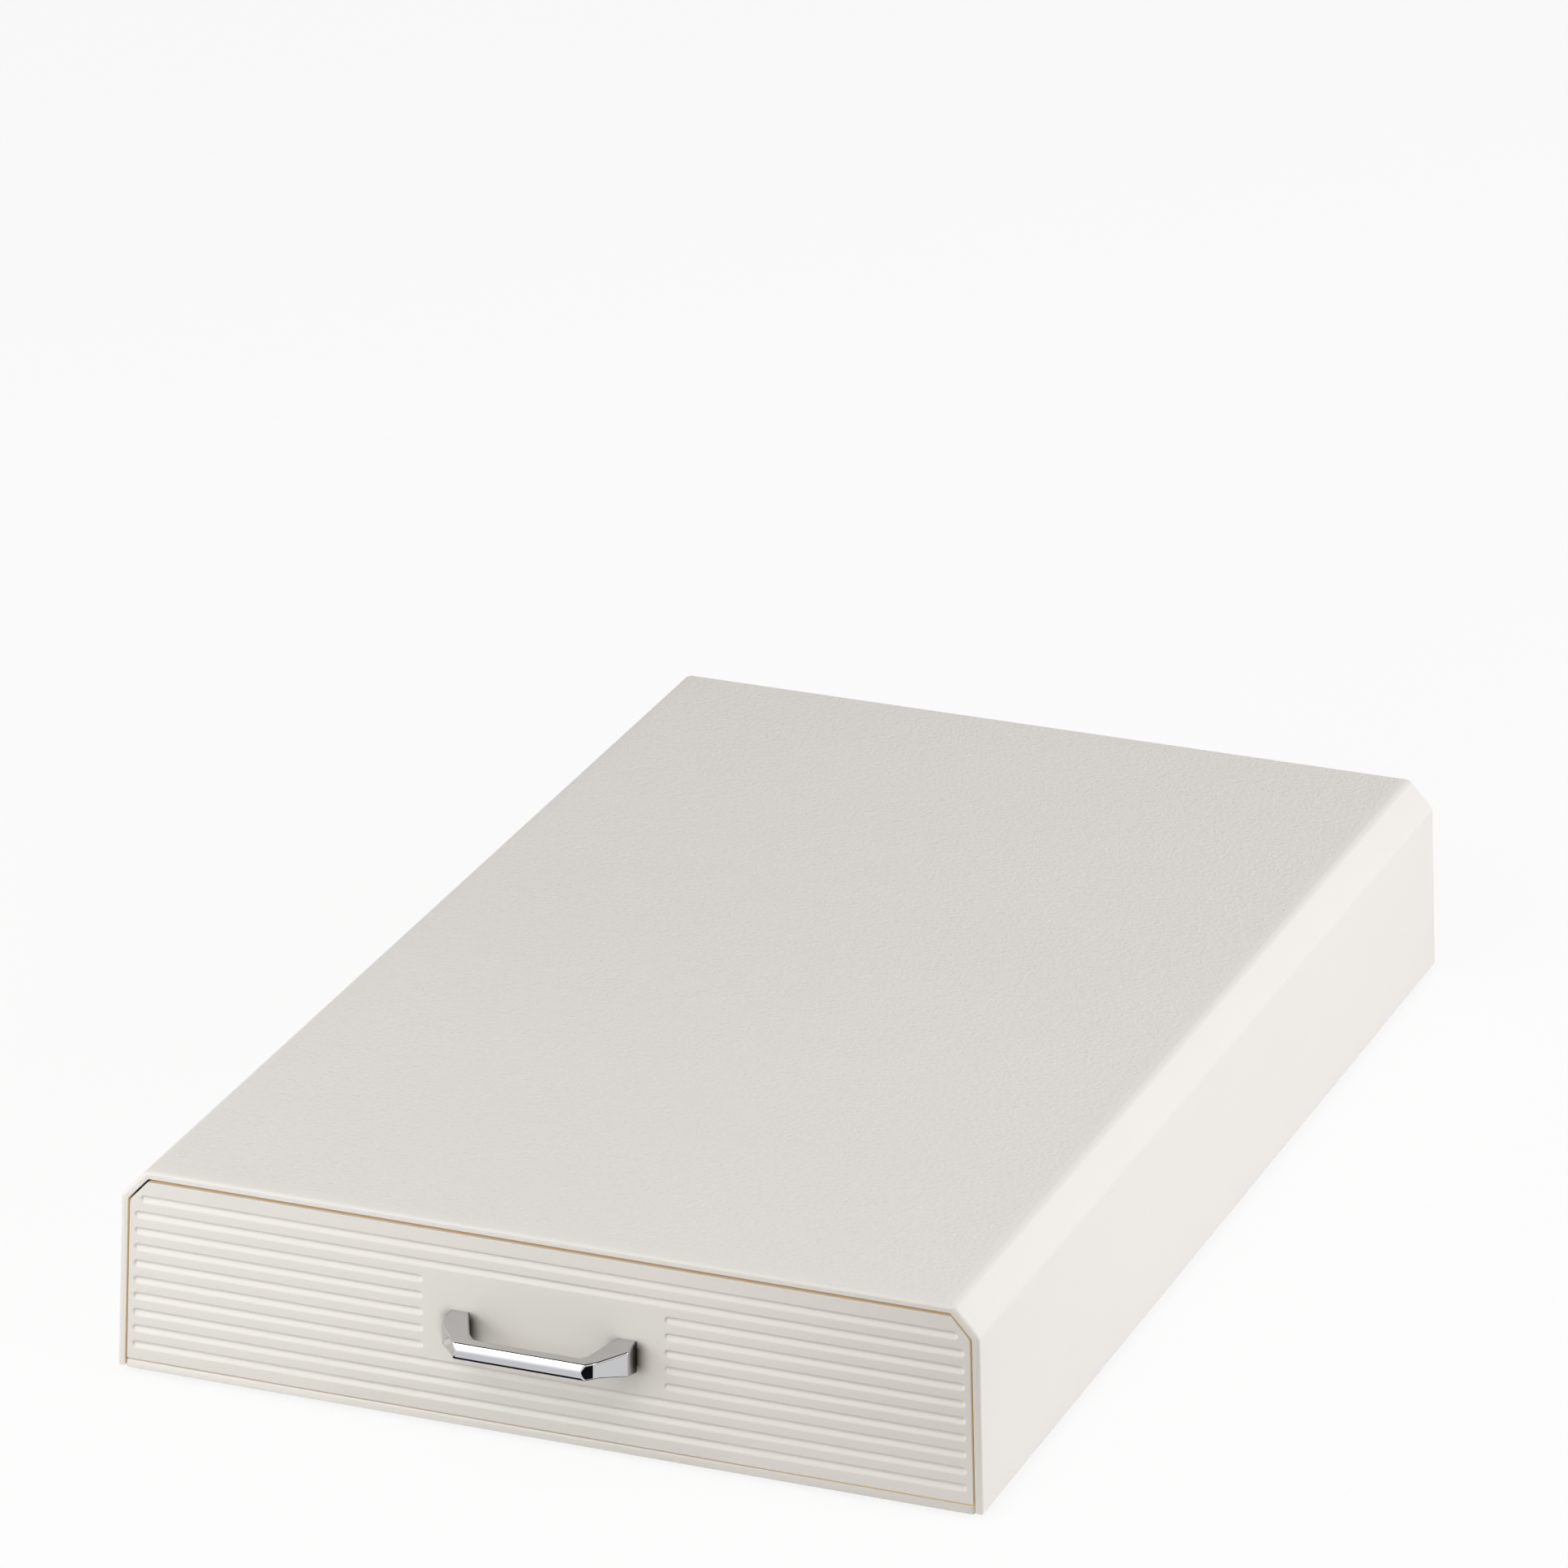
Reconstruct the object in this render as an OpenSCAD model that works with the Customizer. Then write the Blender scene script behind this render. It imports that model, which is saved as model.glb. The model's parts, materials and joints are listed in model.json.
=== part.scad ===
// Drawer unit for coffee capsules. A coffee machine stands on its top, and one full-width
// drawer slides out of its front. +Z is up, the front faces -Y, and the unit stands on Z = 0.

/* [Housing] */
// Width across the lower edges of the side walls
case_w = 237; // [225:1:280]
// Depth from the front rim to the lower edge of the back wall
case_d = 384.6; // [350:0.2:450]
// Height from the lower edges of the side walls to the top
case_h = 56; // [54:0.5:70]
// Thickness of the side walls, the bevels and the back
wall = 2.05; // [1.8:0.05:2.6]
// Thickness of the top
top_t = 2.25; // [1.8:0.05:3]
// Inward lean of the side walls, in degrees
side_draft = 2.15; // [1:0.05:3]
// Inward lean of the back wall, in degrees
back_draft = 2.7; // [1:0.1:4]
// Width of the bevel along each upper side edge
bevel_w = 7; // [5:0.5:9]
// Height of the bevel along each upper side edge
bevel_h = 7.7; // [5:0.1:9]
// Rounding of the bevel's long edges
edge_r = 2; // [0.5:0.1:3]
// Rounding of the top's front and back edges
rim_r = 1.2; // [0.4:0.1:2]

/* [Ribs and posts] */
// Depth of the ribs under the top
rib_h = 3; // [1.5:0.5:4]
// Thickness of a rib
rib_t = 1.6; // [1.2:0.1:2.4]
// Number of ribs that run across
cross_ribs = 3; // [1:1:5]
// Radius of a screw post
post_r = 3.6; // [3.2:0.1:4]
// Number of screw posts along each side
side_posts = 3; // [2:1:5]

/* [Base plate] */
// Thickness of the base plate
base_t = 2.3; // [2:0.1:3]
// How far the base plate lies below the side walls' edges
base_drop = 0.4; // [0:0.05:0.5]
// Gap between the base plate and the walls around it
base_gap = 0.2; // [0.1:0.05:0.4]

/* [Feet] */
// Radius of a rubber foot
foot_r = 9; // [6:0.5:12]
// How far a foot stands out below the base plate
foot_proud = 1.5; // [1:0.1:3]
// How deep a foot is let into the base plate
foot_sunk = 0.8; // [0.5:0.1:1.2]
// Distance from the middle of a foot to the unit's outer edges
foot_inset = 28; // [22:1:40]
// Chamfer around the lower edge of a foot
foot_chamfer = 0.6; // [0.3:0.1:0.9]

/* [Drawer front] */
// Thickness of the grooved plate
plate_t = 3; // [2.6:0.1:3.4]
// Depth from the face to the back of the return flange
front_d = 8; // [7:0.5:10]
// Thickness of the return flange
flange_t = 2; // [1.6:0.1:2.6]
// Gap along the sides and the bevels of the front
front_gap = 0.5; // [0.3:0.05:0.8]
// Gap over the front
over_gap = 0.9; // [0.4:0.05:1.2]
// Gap between the front and the base plate
low_gap = 0.4; // [0.25:0.05:0.6]
// Number of grooves
groove_count = 10; // [6:1:10]
// Distance from the top edge of the front to the middle of the first groove
groove_top = 4.9; // [4:0.1:5.2]
// Distance between the middles of neighbouring grooves
groove_pitch = 4.6; // [4:0.05:4.7]
// Width of a groove
groove_w = 2.4; // [1.8:0.1:2.8]
// Depth of a groove
groove_deep = 0.8; // [0.5:0.1:0.9]
// Distance between a groove's end and the edge of the front
groove_margin = 1.3; // [0.8:0.1:3]
// Width of the plain field behind the handle
plain_w = 65.6; // [58:0.1:80]
// Number of grooves above the plain field
grooves_above = 2; // [1:1:2]
// Number of grooves below the plain field
grooves_below = 3; // [1:1:3]

/* [Handle] */
// Width over both feet
handle_w = 51; // [46:0.5:56]
// Distance from the face to the front of the bar
handle_reach = 15.6; // [13:0.1:20]
// Width of a foot
handle_foot_w = 5.4; // [5:0.1:6.5]
// Height of a foot
handle_foot_h = 9; // [7:0.1:11]
// Length of the straight side of a foot
handle_side = 5.5; // [4:0.1:6]
// Width of the bar over its corner bevels
bar_w = 37.4; // [34:0.2:42]
// Size of the bevel at each end of the bar
bar_bevel = 2.1; // [1:0.1:2.2]
// Height of the bar
bar_h = 4.7; // [4:0.1:6]
// How far the middle of the bar lies above the middle of the feet
bar_rise = 0.5; // [0:0.1:1]
// Depth of the bar
bar_d = 3.8; // [3.4:0.1:5]
// How far the front of the bar bulges
bar_bulge = 0.9; // [0.5:0.1:1.2]
// Clear width behind the bar
finger_w = 30.4; // [27:0.1:32]
// Distance from a foot's outer side to its screw
handle_screw_inset = 3.1; // [2.8:0.1:3.4]
// Depth of the threaded holes in the handle
handle_bore = 6.5; // [5:0.1:7]

/* [Tray] */
// Thickness of the tray's walls
tray_wall = 2; // [1.6:0.1:2.4]
// Thickness of the tray's floor
tray_floor = 2; // [1.6:0.1:2.4]
// Height of the tray
tray_h = 42; // [34:1:44]
// Room under the tray's floor
tray_lift = 1.5; // [1.2:0.1:3]
// Rounding of the tray's upright corners
tray_r = 4; // [2:0.5:6]
// Thickness of a lane divider
divider_t = 1.6; // [1.2:0.1:2]
// Height of a lane divider
divider_h = 34; // [24:1:36]
// Rounding of a divider's upper corners
divider_r = 6; // [3:0.5:10]
// Play around a lane divider
divider_play = 0.2; // [0.1:0.05:0.4]
// Thickness of a guide rib beside a divider
guide_t = 1.5; // [1.2:0.1:2]
// How far a guide rib stands out from the tray's wall
guide_d = 2.5; // [2:0.1:4]

/* [Runners] */
// How far the drawer slides out
travel = 280; // [200:1:300]
// Width of the tray's tongue
tongue_w = 5; // [4:0.1:6]
// Thickness of the tray's tongue
tongue_t = 3; // [2.4:0.1:3.5]
// Play around the tongue in its runner
play = 0.3; // [0.25:0.05:0.5]
// Thickness of a runner's upright wall
runner_wall = 2; // [1.6:0.1:2.4]
// Thickness of a runner's upper limb
limb_t = 2; // [1.6:0.1:3]
// Height of the solid bed under the tongue
bed_h = 7.4; // [6:0.1:8]
// Gap between a runner and the tray's side
side_gap = 0.6; // [0.4:0.1:1]
// Length of a runner's stop posts
stop_len = 6; // [5:0.5:8]
// Height of a runner's stop posts
stop_h = 8.2; // [7.6:0.1:9]
// Length of the tray's stop lugs
lug_len = 6; // [4:0.5:8]

/* [Buffers] */
// Radius of a buffer's head
buffer_r = 3; // [2.4:0.1:3.2]
// Thickness of a buffer's head
buffer_t = 2.5; // [1.5:0.1:4]
// Radius of a buffer's stem
stem_r = 1.4; // [1:0.1:1.8]
// Length of a buffer's stem
stem_len = 4; // [3:0.1:4.5]

/* [Screws] */
// Radius of a screw's shank
screw_r = 1.4; // [1.2:0.05:1.5]
// Radius of a countersunk head
sunk_head_r = 2.6; // [2.4:0.1:2.8]
// Height of a countersunk head
sunk_head_h = 1.3; // [1:0.1:1.6]
// Length of a countersunk screw
sunk_len = 8; // [7:0.1:8.4]
// Radius of a pan head
pan_head_r = 2.8; // [2.4:0.1:3]
// Height of a pan head
pan_head_h = 2; // [1.6:0.1:2.2]
// Outer radius of a washer
washer_r = 3.5; // [3:0.1:4]
// Thickness of a washer
washer_t = 0.5; // [0.3:0.1:0.8]

/* [Hidden] */
// Number of lanes for capsules, one more than the number of dividers
lanes = 5;
// Number of runner screws on each side
runner_screws_n = 4;
// Clearance around a shank, a stem or a foot in its hole
snug = 0.05;
// Clearance around a screw where it passes through a sheet
pass = 0.2;
// How far one shape reaches into another where the two are one piece
bite = 0.2;
// How far a cutting shape passes the surface that it cuts
cut = 1;
// Width and depth of a screw head's cross recess
cross_w = 0.7;
cross_d = 1;
// Length of a screw's pointed tip, and the radius of its end
tip_len = 1.6;
tip_r = 0.4;
// Room left beyond a screw's tip
tip_room = 0.3;
// Setback of the ribs from the back of the drawer front
rib_start = 4;
// Distance from the runners' outer screws to the runners' ends
runner_screw_inset = 14;
// Distance of the last side post from the lower edge of the back wall
post_inset = 24;
// Chamfer at each front corner of the base plate
lip_corner = 0.6;
// Height of the front's lower screws over the tray's underside, and the distance of the upper
// ones from the tray's rim
boss_rise = 9;
boss_drop = 8;
$fn = 96;

white = "#ECE9E3";
tray_white = "#E4E1DA";
chrome = "#C9CBCE";
steel = "#A9ABAE";
nylon = "#D9D6CE";
rubber = "#2B2B2C";

side_lean = tan(side_draft);
back_lean = tan(back_draft);
case_z = foot_proud + base_drop;
top_z = case_z + case_h;
base_top = foot_proud + base_t;
// The unit's box, handle included, is centred on the origin
front_y = -(case_d - handle_reach) / 2;

// Inner half width of the housing beside the base plate
inner_low = side_x(base_top, wall);
post_x = inner_low + bite - post_r;
runner_out = post_x - post_r - play;
tray_half = runner_out - runner_wall - play - tongue_w;
runner_in = tray_half + side_gap;
runner_x = (runner_in + runner_out) / 2;

bed_z = base_top + bed_h;
tongue_z = bed_z + play;
limb_z = tongue_z + tongue_t + play;
stop_z = limb_z + limb_t;
buffer_z = stop_z + stop_h / 2;
lug_z = stop_z + play;
lug_h = stop_h - play;

runner_front = front_d + 2 * play;
runner_back = back_y(stop_z + stop_h, wall) - 2 * play;
rear_stop_y = runner_back - stop_len;
tray_front = front_d;
tray_back = rear_stop_y - buffer_t - play;
lug_front = tray_back - lug_len;
// Back face of the front stop post, which holds the buffer that the lug meets
front_stop_y = lug_front - travel - play - buffer_t;

tray_z = base_top + tray_lift;
floor_z = tray_z + tray_floor;
lane_w = (2 * (tray_half - tray_wall) - (lanes - 1) * divider_t) / lanes;
lane_pitch = lane_w + divider_t;
guide_h = divider_h - divider_r;

front_inset = wall + front_gap;
front_low = base_top + low_gap;
front_top_t = top_t + over_gap;
first_groove_z = top_z - front_top_t - groove_top;
// The handle's feet lie level with the middle of the grooves
handle_z = first_groove_z - (groove_count - 1) / 2 * groove_pitch;
handle_screw_x = handle_w / 2 - handle_screw_inset;
boss_zs = [tray_z + boss_rise, tray_z + tray_h - boss_drop];
boss_xs = [-(lanes - 1) / 2, 0, (lanes - 1) / 2] * lane_pitch;

post_front = front_d + play + post_r;
side_post_ys = spread(post_front, case_d - post_inset, side_posts);
back_post_y = back_y(base_top, wall) + bite - post_r;
runner_screw_ys = spread(runner_front + runner_screw_inset,
                         runner_back - runner_screw_inset, runner_screws_n);

// Evenly spaced values from a to b
function spread(a, b, n) = [for (i = [0:n - 1]) a + (b - a) * i / (n - 1)];

// Normal of the bevel, which points up and out
bevel_len = sqrt(bevel_w * bevel_w + bevel_h * bevel_h);
bevel_nx = bevel_h / bevel_len;
bevel_nz = bevel_w / bevel_len;
bevel_z = top_z - bevel_h;

// Half width of the side wall's surface, set in by g, at height z
function side_x(z, g) = case_w / 2 - (z - case_z) * side_lean - g / cos(side_draft);

// Height where the side meets the bevel, both set in by g
function corner_z(g) =
    (-g + bevel_z * bevel_nz - (side_x(0, g) - side_x(bevel_z, 0)) * bevel_nx)
    / (bevel_nz - side_lean * bevel_nx);

// Half width of the bevel's surface, set in by g, at height z
function bevel_x(z, g) = side_x(bevel_z, 0) + (-g - (z - bevel_z) * bevel_nz) / bevel_nx;

// Half width of the housing's section, set in by g, at height z
function half_w(z, g) = min(side_x(z, g), bevel_x(z, g));

// Distance of the back wall's surface, set in by g, from the front at height z
function back_y(z, g) = case_d - (z - case_z) * back_lean - g / cos(back_draft);

// Right half of the section's corners, set in by g at the sides and by t at the top, and cut
// off at height low
function half_section(g, t, low) = [
    [side_x(low, g), low],
    [side_x(corner_z(g), g), corner_z(g)],
    [bevel_x(top_z - t, g), top_z - t]
];

// Points of a corner that is cut back to where an arc of radius r begins and ends
function unit(v) = v / norm(v);
function arc_half(p, a, b) = acos(unit(a - p) * unit(b - p)) / 2;
function arc_ends(p, a, b, r) = [
    p + unit(a - p) * r / tan(arc_half(p, a, b)),
    p + unit(b - p) * r / tan(arc_half(p, a, b))
];
function arc_middle(p, a, b, r) =
    p + unit(unit(a - p) + unit(b - p)) * r / sin(arc_half(p, a, b));

function mirrored(points) = [for (i = [len(points) - 1:-1:0]) [-points[i][0], points[i][1]]];

// Housing's section, set in by g at the sides and by t at the top, cut off at height low,
// with bevel corners of radius r
module section(g, t, low, r) {
    half = half_section(g, t, low);
    start = half[0];
    lower = half[1];
    upper = half[2];
    middle = [0, upper[1]];
    right = concat([start], arc_ends(lower, start, upper, r), arc_ends(upper, lower, middle, r));
    polygon(concat(right, mirrored(right)));
    for (side = [-1, 1])
        for (centre = [arc_middle(lower, start, upper, r), arc_middle(upper, lower, middle, r)])
            translate([side * centre[0], centre[1]])
                circle(r);
}

// Outline of the housing seen from the side, set in by g at the back and by t at the top
module side_outline(g, t, low, front, r) {
    a = [front, top_z - t];
    b = [back_y(top_z - t, g), top_z - t];
    low_back = [back_y(low, g), low];
    polygon(concat([[front, low]], [low_back], arc_ends(b, low_back, a, r),
                   arc_ends(a, b, [front, low], r)));
    translate(arc_middle(b, low_back, a, r))
        circle(r);
    translate(arc_middle(a, b, [front, low], r))
        circle(r);
}

// Extrudes an X-Z drawing from y0 back to y1
module along_y(y0, y1) {
    translate([0, y1, 0])
        rotate([90, 0, 0])
            linear_extrude(height = y1 - y0)
                children();
}

// Extrudes a Y-Z drawing from x0 to x1
module along_x(x0, x1) {
    translate([x0, 0, 0])
        rotate([90, 0, 90])
            linear_extrude(height = x1 - x0)
                children();
}

// Box between two corners
module block(a, b) {
    translate(a)
        cube(b - a);
}

// Places what is measured from the front face into the part's own frame
module placed() {
    translate([0, front_y, 0])
        children();
}

module both_sides() {
    for (side = [0, 1])
        mirror([side, 0, 0])
            children();
}

// Rectangle with round corners, centred in X, from y0 to y1
module round_rectangle(half, y0, y1, r) {
    translate([-half + r, y0])
        square([2 * (half - r), y1 - y0]);
    translate([-half, y0 + r])
        square([2 * half, y1 - y0 - 2 * r]);
    for (x = [-half + r, half - r])
        for (y = [y0 + r, y1 - r])
            translate([x, y])
                circle(r);
}

// Cross recess of a screw head, cut upwards from Z = 0
module cross_recess(head_r) {
    for (turn = [0, 90])
        rotate([0, 0, turn])
            translate([-head_r * 0.6, -cross_w / 2, -cut])
                cube([head_r * 1.2, cross_w, cross_d + cut]);
}

// Shank along +Z with a pointed tip, from Z = 0
module shank(length) {
    cylinder(h = length - tip_len, r = screw_r);
    translate([0, 0, length - tip_len])
        cylinder(h = tip_len, r1 = screw_r, r2 = tip_r);
}

// Countersunk screw that points up, with the flat of its head at Z = 0
module sunk_screw() {
    difference() {
        union() {
            cylinder(h = sunk_head_h, r1 = sunk_head_r, r2 = screw_r);
            translate([0, 0, sunk_head_h])
                shank(sunk_len - sunk_head_h);
        }
        cross_recess(sunk_head_r);
    }
}

// Hole with a countersink for that screw, through a sheet of thickness t
module sunk_hole(t) {
    translate([0, 0, -cut])
        cylinder(h = t + 2 * cut, r = screw_r + pass);
    cylinder(h = sunk_head_h, r1 = sunk_head_r + snug, r2 = screw_r + snug);
}

// Pan-head screw that points towards -Y, with the underside of its head at Y = 0
module pan_screw(length) {
    difference() {
        union() {
            rotate([-90, 0, 0])
                cylinder(h = pan_head_h, r = pan_head_r);
            rotate([90, 0, 0])
                shank(length);
        }
        translate([0, pan_head_h, 0])
            rotate([90, 0, 0])
                cross_recess(pan_head_r);
    }
}

// Where the screws hold the base plate to the housing
module at_post_screws() {
    for (x = [-post_x, post_x])
        for (y = side_post_ys)
            translate([x, y, 0])
                children();
    for (x = [-1.5, 1.5] * lane_pitch)
        translate([x, back_post_y, 0])
            children();
}

// Where the screws hold the base plate to the runners
module at_runner_screws() {
    for (x = [-runner_x, runner_x])
        for (y = runner_screw_ys)
            translate([x, y, 0])
                children();
}

module housing_shell() {
    color(white)
        placed() {
            difference() {
                intersection() {
                    along_y(0, case_d)
                        section(0, 0, case_z, edge_r);
                    along_x(-case_w, case_w)
                        side_outline(0, 0, case_z, 0, rim_r);
                }
                intersection() {
                    along_y(-cut, case_d)
                        section(wall, top_t, case_z - cut, edge_r / 2);
                    along_x(-case_w, case_w)
                        side_outline(wall, top_t, case_z - cut, -2 * cut, rim_r / 2);
                }
            }
            difference() {
                intersection() {
                    union() {
                        top_ribs();
                        at_post_screws()
                            translate([0, 0, base_top])
                                cylinder(h = case_h, r = post_r);
                    }
                    along_y(0, case_d)
                        section(wall / 2, top_t / 2, case_z, edge_r / 2);
                    along_x(-case_w, case_w)
                        side_outline(wall / 2, top_t / 2, case_z, 0, rim_r / 2);
                }
                at_post_screws()
                    translate([0, 0, foot_proud])
                        cylinder(h = sunk_len + tip_room, r = screw_r + snug);
            }
        }
}

// Ribs under the top: one over each lane divider, and some that run across
module top_ribs() {
    low = top_z - top_t - rib_h;
    for (i = [1:lanes - 1])
        translate([(i - lanes / 2) * lane_pitch - rib_t / 2, front_d + rib_start, low])
            cube([rib_t, case_d, rib_h + top_t]);
    for (i = [1:cross_ribs])
        translate([-case_w / 2, case_d * i / (cross_ribs + 1) - rib_t / 2, low])
            cube([case_w, rib_t, rib_h + top_t]);
}

module base_plate() {
    half = side_x(base_top, wall) - base_gap;
    back = back_y(base_top, wall) - base_gap;
    color(white)
        placed()
            difference() {
                translate([0, 0, foot_proud])
                    linear_extrude(height = base_t)
                        polygon([[-half + lip_corner, 0], [half - lip_corner, 0], [half, lip_corner],
                                 [half, back], [-half, back], [-half, lip_corner]]);
                translate([0, 0, foot_proud]) {
                    at_post_screws()
                        sunk_hole(base_t);
                    at_runner_screws()
                        sunk_hole(base_t);
                }
                for (x = [-1, 1])
                    for (y = [foot_inset, case_d - foot_inset])
                        translate([x * (case_w / 2 - foot_inset), y, foot_proud - cut])
                            cylinder(h = foot_sunk + cut, r = foot_r + snug);
            }
}

// Rubber foot at one corner: x is -1 or 1, and y is its distance from the front
module foot(x, y) {
    color(rubber)
        placed()
            translate([x * (case_w / 2 - foot_inset), y, 0]) {
                cylinder(h = foot_chamfer, r1 = foot_r - foot_chamfer, r2 = foot_r);
                translate([0, 0, foot_chamfer])
                    cylinder(h = foot_proud + foot_sunk - foot_chamfer, r = foot_r);
            }
}

module foot_front_left() {
    foot(-1, foot_inset);
}

module foot_front_right() {
    foot(1, foot_inset);
}

module foot_rear_left() {
    foot(-1, case_d - foot_inset);
}

module foot_rear_right() {
    foot(1, case_d - foot_inset);
}

module base_screws() {
    color(steel)
        placed()
            at_post_screws()
                translate([0, 0, foot_proud])
                    sunk_screw();
}

module runner_screws() {
    color(steel)
        placed()
            at_runner_screws()
                translate([0, 0, foot_proud])
                    sunk_screw();
}

// Channel that carries the tray's tongue, with a stop post near its front and at its rear
module right_runner() {
    difference() {
        union() {
            block([runner_in, runner_front, base_top], [runner_out, runner_back, bed_z]);
            block([runner_out - runner_wall, runner_front, bed_z - bite],
                  [runner_out, runner_back, stop_z]);
            block([runner_in, runner_front, limb_z], [runner_out, runner_back, stop_z]);
            for (y = [front_stop_y - stop_len, rear_stop_y])
                block([runner_in, y, stop_z - bite], [runner_out, y + stop_len, stop_z + stop_h]);
        }
        for (y = [front_stop_y - stop_len, rear_stop_y])
            translate([runner_x, y - cut, buffer_z])
                rotate([-90, 0, 0])
                    cylinder(h = stop_len + 2 * cut, r = stem_r + snug);
        for (y = runner_screw_ys)
            translate([runner_x, y, foot_proud])
                cylinder(h = sunk_len + tip_room, r = screw_r + snug);
    }
}

module runner_right() {
    color(nylon)
        placed()
            right_runner();
}

module runner_left() {
    color(nylon)
        placed()
            mirror([1, 0, 0])
                right_runner();
}

// Buffer with its head towards +Y, and the back of its head at Y = 0
module buffer() {
    rotate([-90, 0, 0])
        cylinder(h = buffer_t, r = buffer_r);
    rotate([90, 0, 0])
        cylinder(h = stem_len, r = stem_r);
}

// Buffer in a runner's front stop post, which meets the tray's lug
module stop_buffer(side) {
    color(rubber)
        placed()
            translate([side * runner_x, front_stop_y, buffer_z])
                buffer();
}

// Buffer in a runner's rear stop post, which meets the back of the closing tray
module rear_buffer(side) {
    color(rubber)
        placed()
            translate([side * runner_x, rear_stop_y, buffer_z])
                mirror([0, 1, 0])
                    buffer();
}

module stop_buffer_left() {
    stop_buffer(-1);
}

module stop_buffer_right() {
    stop_buffer(1);
}

module rear_buffer_left() {
    rear_buffer(-1);
}

module rear_buffer_right() {
    rear_buffer(1);
}

// Groove with round ends between x0 and x1, whose middle lies at height z
module groove(x0, x1, z) {
    r = (groove_w * groove_w / 4 + groove_deep * groove_deep) / (2 * groove_deep);
    end = groove_w / 2;
    translate([x0 + end, groove_deep - r, z]) {
        rotate([0, 90, 0])
            cylinder(h = x1 - x0 - 2 * end, r = r);
        sphere(r);
        translate([x1 - x0 - 2 * end, 0, 0])
            sphere(r);
    }
}

// All the grooves, the middle ones interrupted by the plain field
module grooves() {
    for (i = [0:groove_count - 1]) {
        z = first_groove_z - i * groove_pitch;
        reach = half_w(z + groove_w / 2, front_inset) - groove_margin;
        if (i < grooves_above || i >= groove_count - grooves_below) {
            groove(-reach, reach, z);
        } else {
            groove(-reach, -plain_w / 2, z);
            groove(plain_w / 2, reach, z);
        }
    }
}

module drawer_front() {
    color(white)
        placed()
            difference() {
                union() {
                    difference() {
                        along_y(0, front_d)
                            section(front_inset, front_top_t, front_low, edge_r / 2);
                        along_y(plate_t, front_d + cut)
                            section(front_inset + flange_t, front_top_t + flange_t,
                                    front_low + flange_t, edge_r / 4);
                    }
                    for (x = boss_xs)
                        for (z = boss_zs)
                            translate([x, front_d, z])
                                rotate([90, 0, 0])
                                    cylinder(h = front_d - plate_t + bite, r = post_r);
                }
                grooves();
                for (x = boss_xs)
                    for (z = boss_zs)
                        translate([x, front_d + cut, z])
                            rotate([90, 0, 0])
                                cylinder(h = front_d - plate_t + cut, r = screw_r + snug);
                for (x = [-handle_screw_x, handle_screw_x])
                    translate([x, -cut, handle_z])
                        rotate([-90, 0, 0])
                            cylinder(h = plate_t + 2 * cut, r = screw_r + pass);
            }
}

module front_screws() {
    color(steel)
        placed()
            for (x = boss_xs)
                for (z = boss_zs)
                    translate([x, tray_front + tray_wall, z])
                        pan_screw(tray_wall + front_d - plate_t - tip_room);
}

// Bow of the handle seen from above
module handle_plan() {
    right = [
        [handle_w / 2 - handle_foot_w, 0],
        [handle_w / 2, 0],
        [handle_w / 2, -handle_side],
        [bar_w / 2, bar_bevel - handle_reach],
        [bar_w / 2 - bar_bevel, -handle_reach]
    ];
    inner = [finger_w / 2, bar_d - handle_reach];
    polygon(concat([inner], right, mirrored(right), mirrored([inner])));
}

// Side view of the handle: the feet are taller than the bar, whose front bulges
module handle_profile() {
    r = (bar_h * bar_h / 4 + bar_bulge * bar_bulge) / (2 * bar_bulge);
    nose = bar_bulge - handle_reach;
    bar_back = bar_d - handle_reach;
    high = bar_rise + bar_h / 2;
    low = bar_rise - bar_h / 2;
    polygon([[0, -handle_foot_h / 2], [0, handle_foot_h / 2], [bar_back, high], [nose, high],
             [nose, low], [bar_back, low]]);
    intersection() {
        translate([r - handle_reach, bar_rise])
            circle(r);
        translate([-handle_reach - cut, low])
            square([bar_bulge + cut + bite, bar_h]);
    }
}

module handle() {
    color(chrome)
        placed()
            translate([0, 0, handle_z])
                difference() {
                    intersection() {
                        translate([0, 0, -handle_foot_h])
                            linear_extrude(height = 2 * handle_foot_h)
                                handle_plan();
                        along_x(-handle_w, handle_w)
                            handle_profile();
                    }
                    for (x = [-handle_screw_x, handle_screw_x])
                        translate([x, cut, 0])
                            rotate([90, 0, 0])
                                cylinder(h = handle_bore + cut, r = screw_r + snug);
                }
}

module handle_washers() {
    color(steel)
        placed()
            for (x = [-handle_screw_x, handle_screw_x])
                translate([x, plate_t, handle_z])
                    rotate([-90, 0, 0])
                        difference() {
                            cylinder(h = washer_t, r = washer_r);
                            translate([0, 0, -cut])
                                cylinder(h = washer_t + 2 * cut, r = screw_r + pass);
                        }
}

module handle_screws() {
    color(steel)
        placed()
            for (x = [-handle_screw_x, handle_screw_x])
                translate([x, plate_t + washer_t, handle_z])
                    pan_screw(washer_t + plate_t + handle_bore - tip_room);
}

// Two ribs at each end of the tray that hold a lane divider upright
module divider_guides() {
    for (i = [1:lanes - 1])
        for (side = [-1, 1])
            translate([(i - lanes / 2) * lane_pitch
                       + side * (divider_t + guide_t + 2 * divider_play) / 2 - guide_t / 2, 0,
                       floor_z - bite]) {
                translate([0, tray_front + tray_wall - bite, 0])
                    cube([guide_t, guide_d + bite, guide_h]);
                translate([0, tray_back - tray_wall - guide_d, 0])
                    cube([guide_t, guide_d + bite, guide_h]);
            }
}

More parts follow.
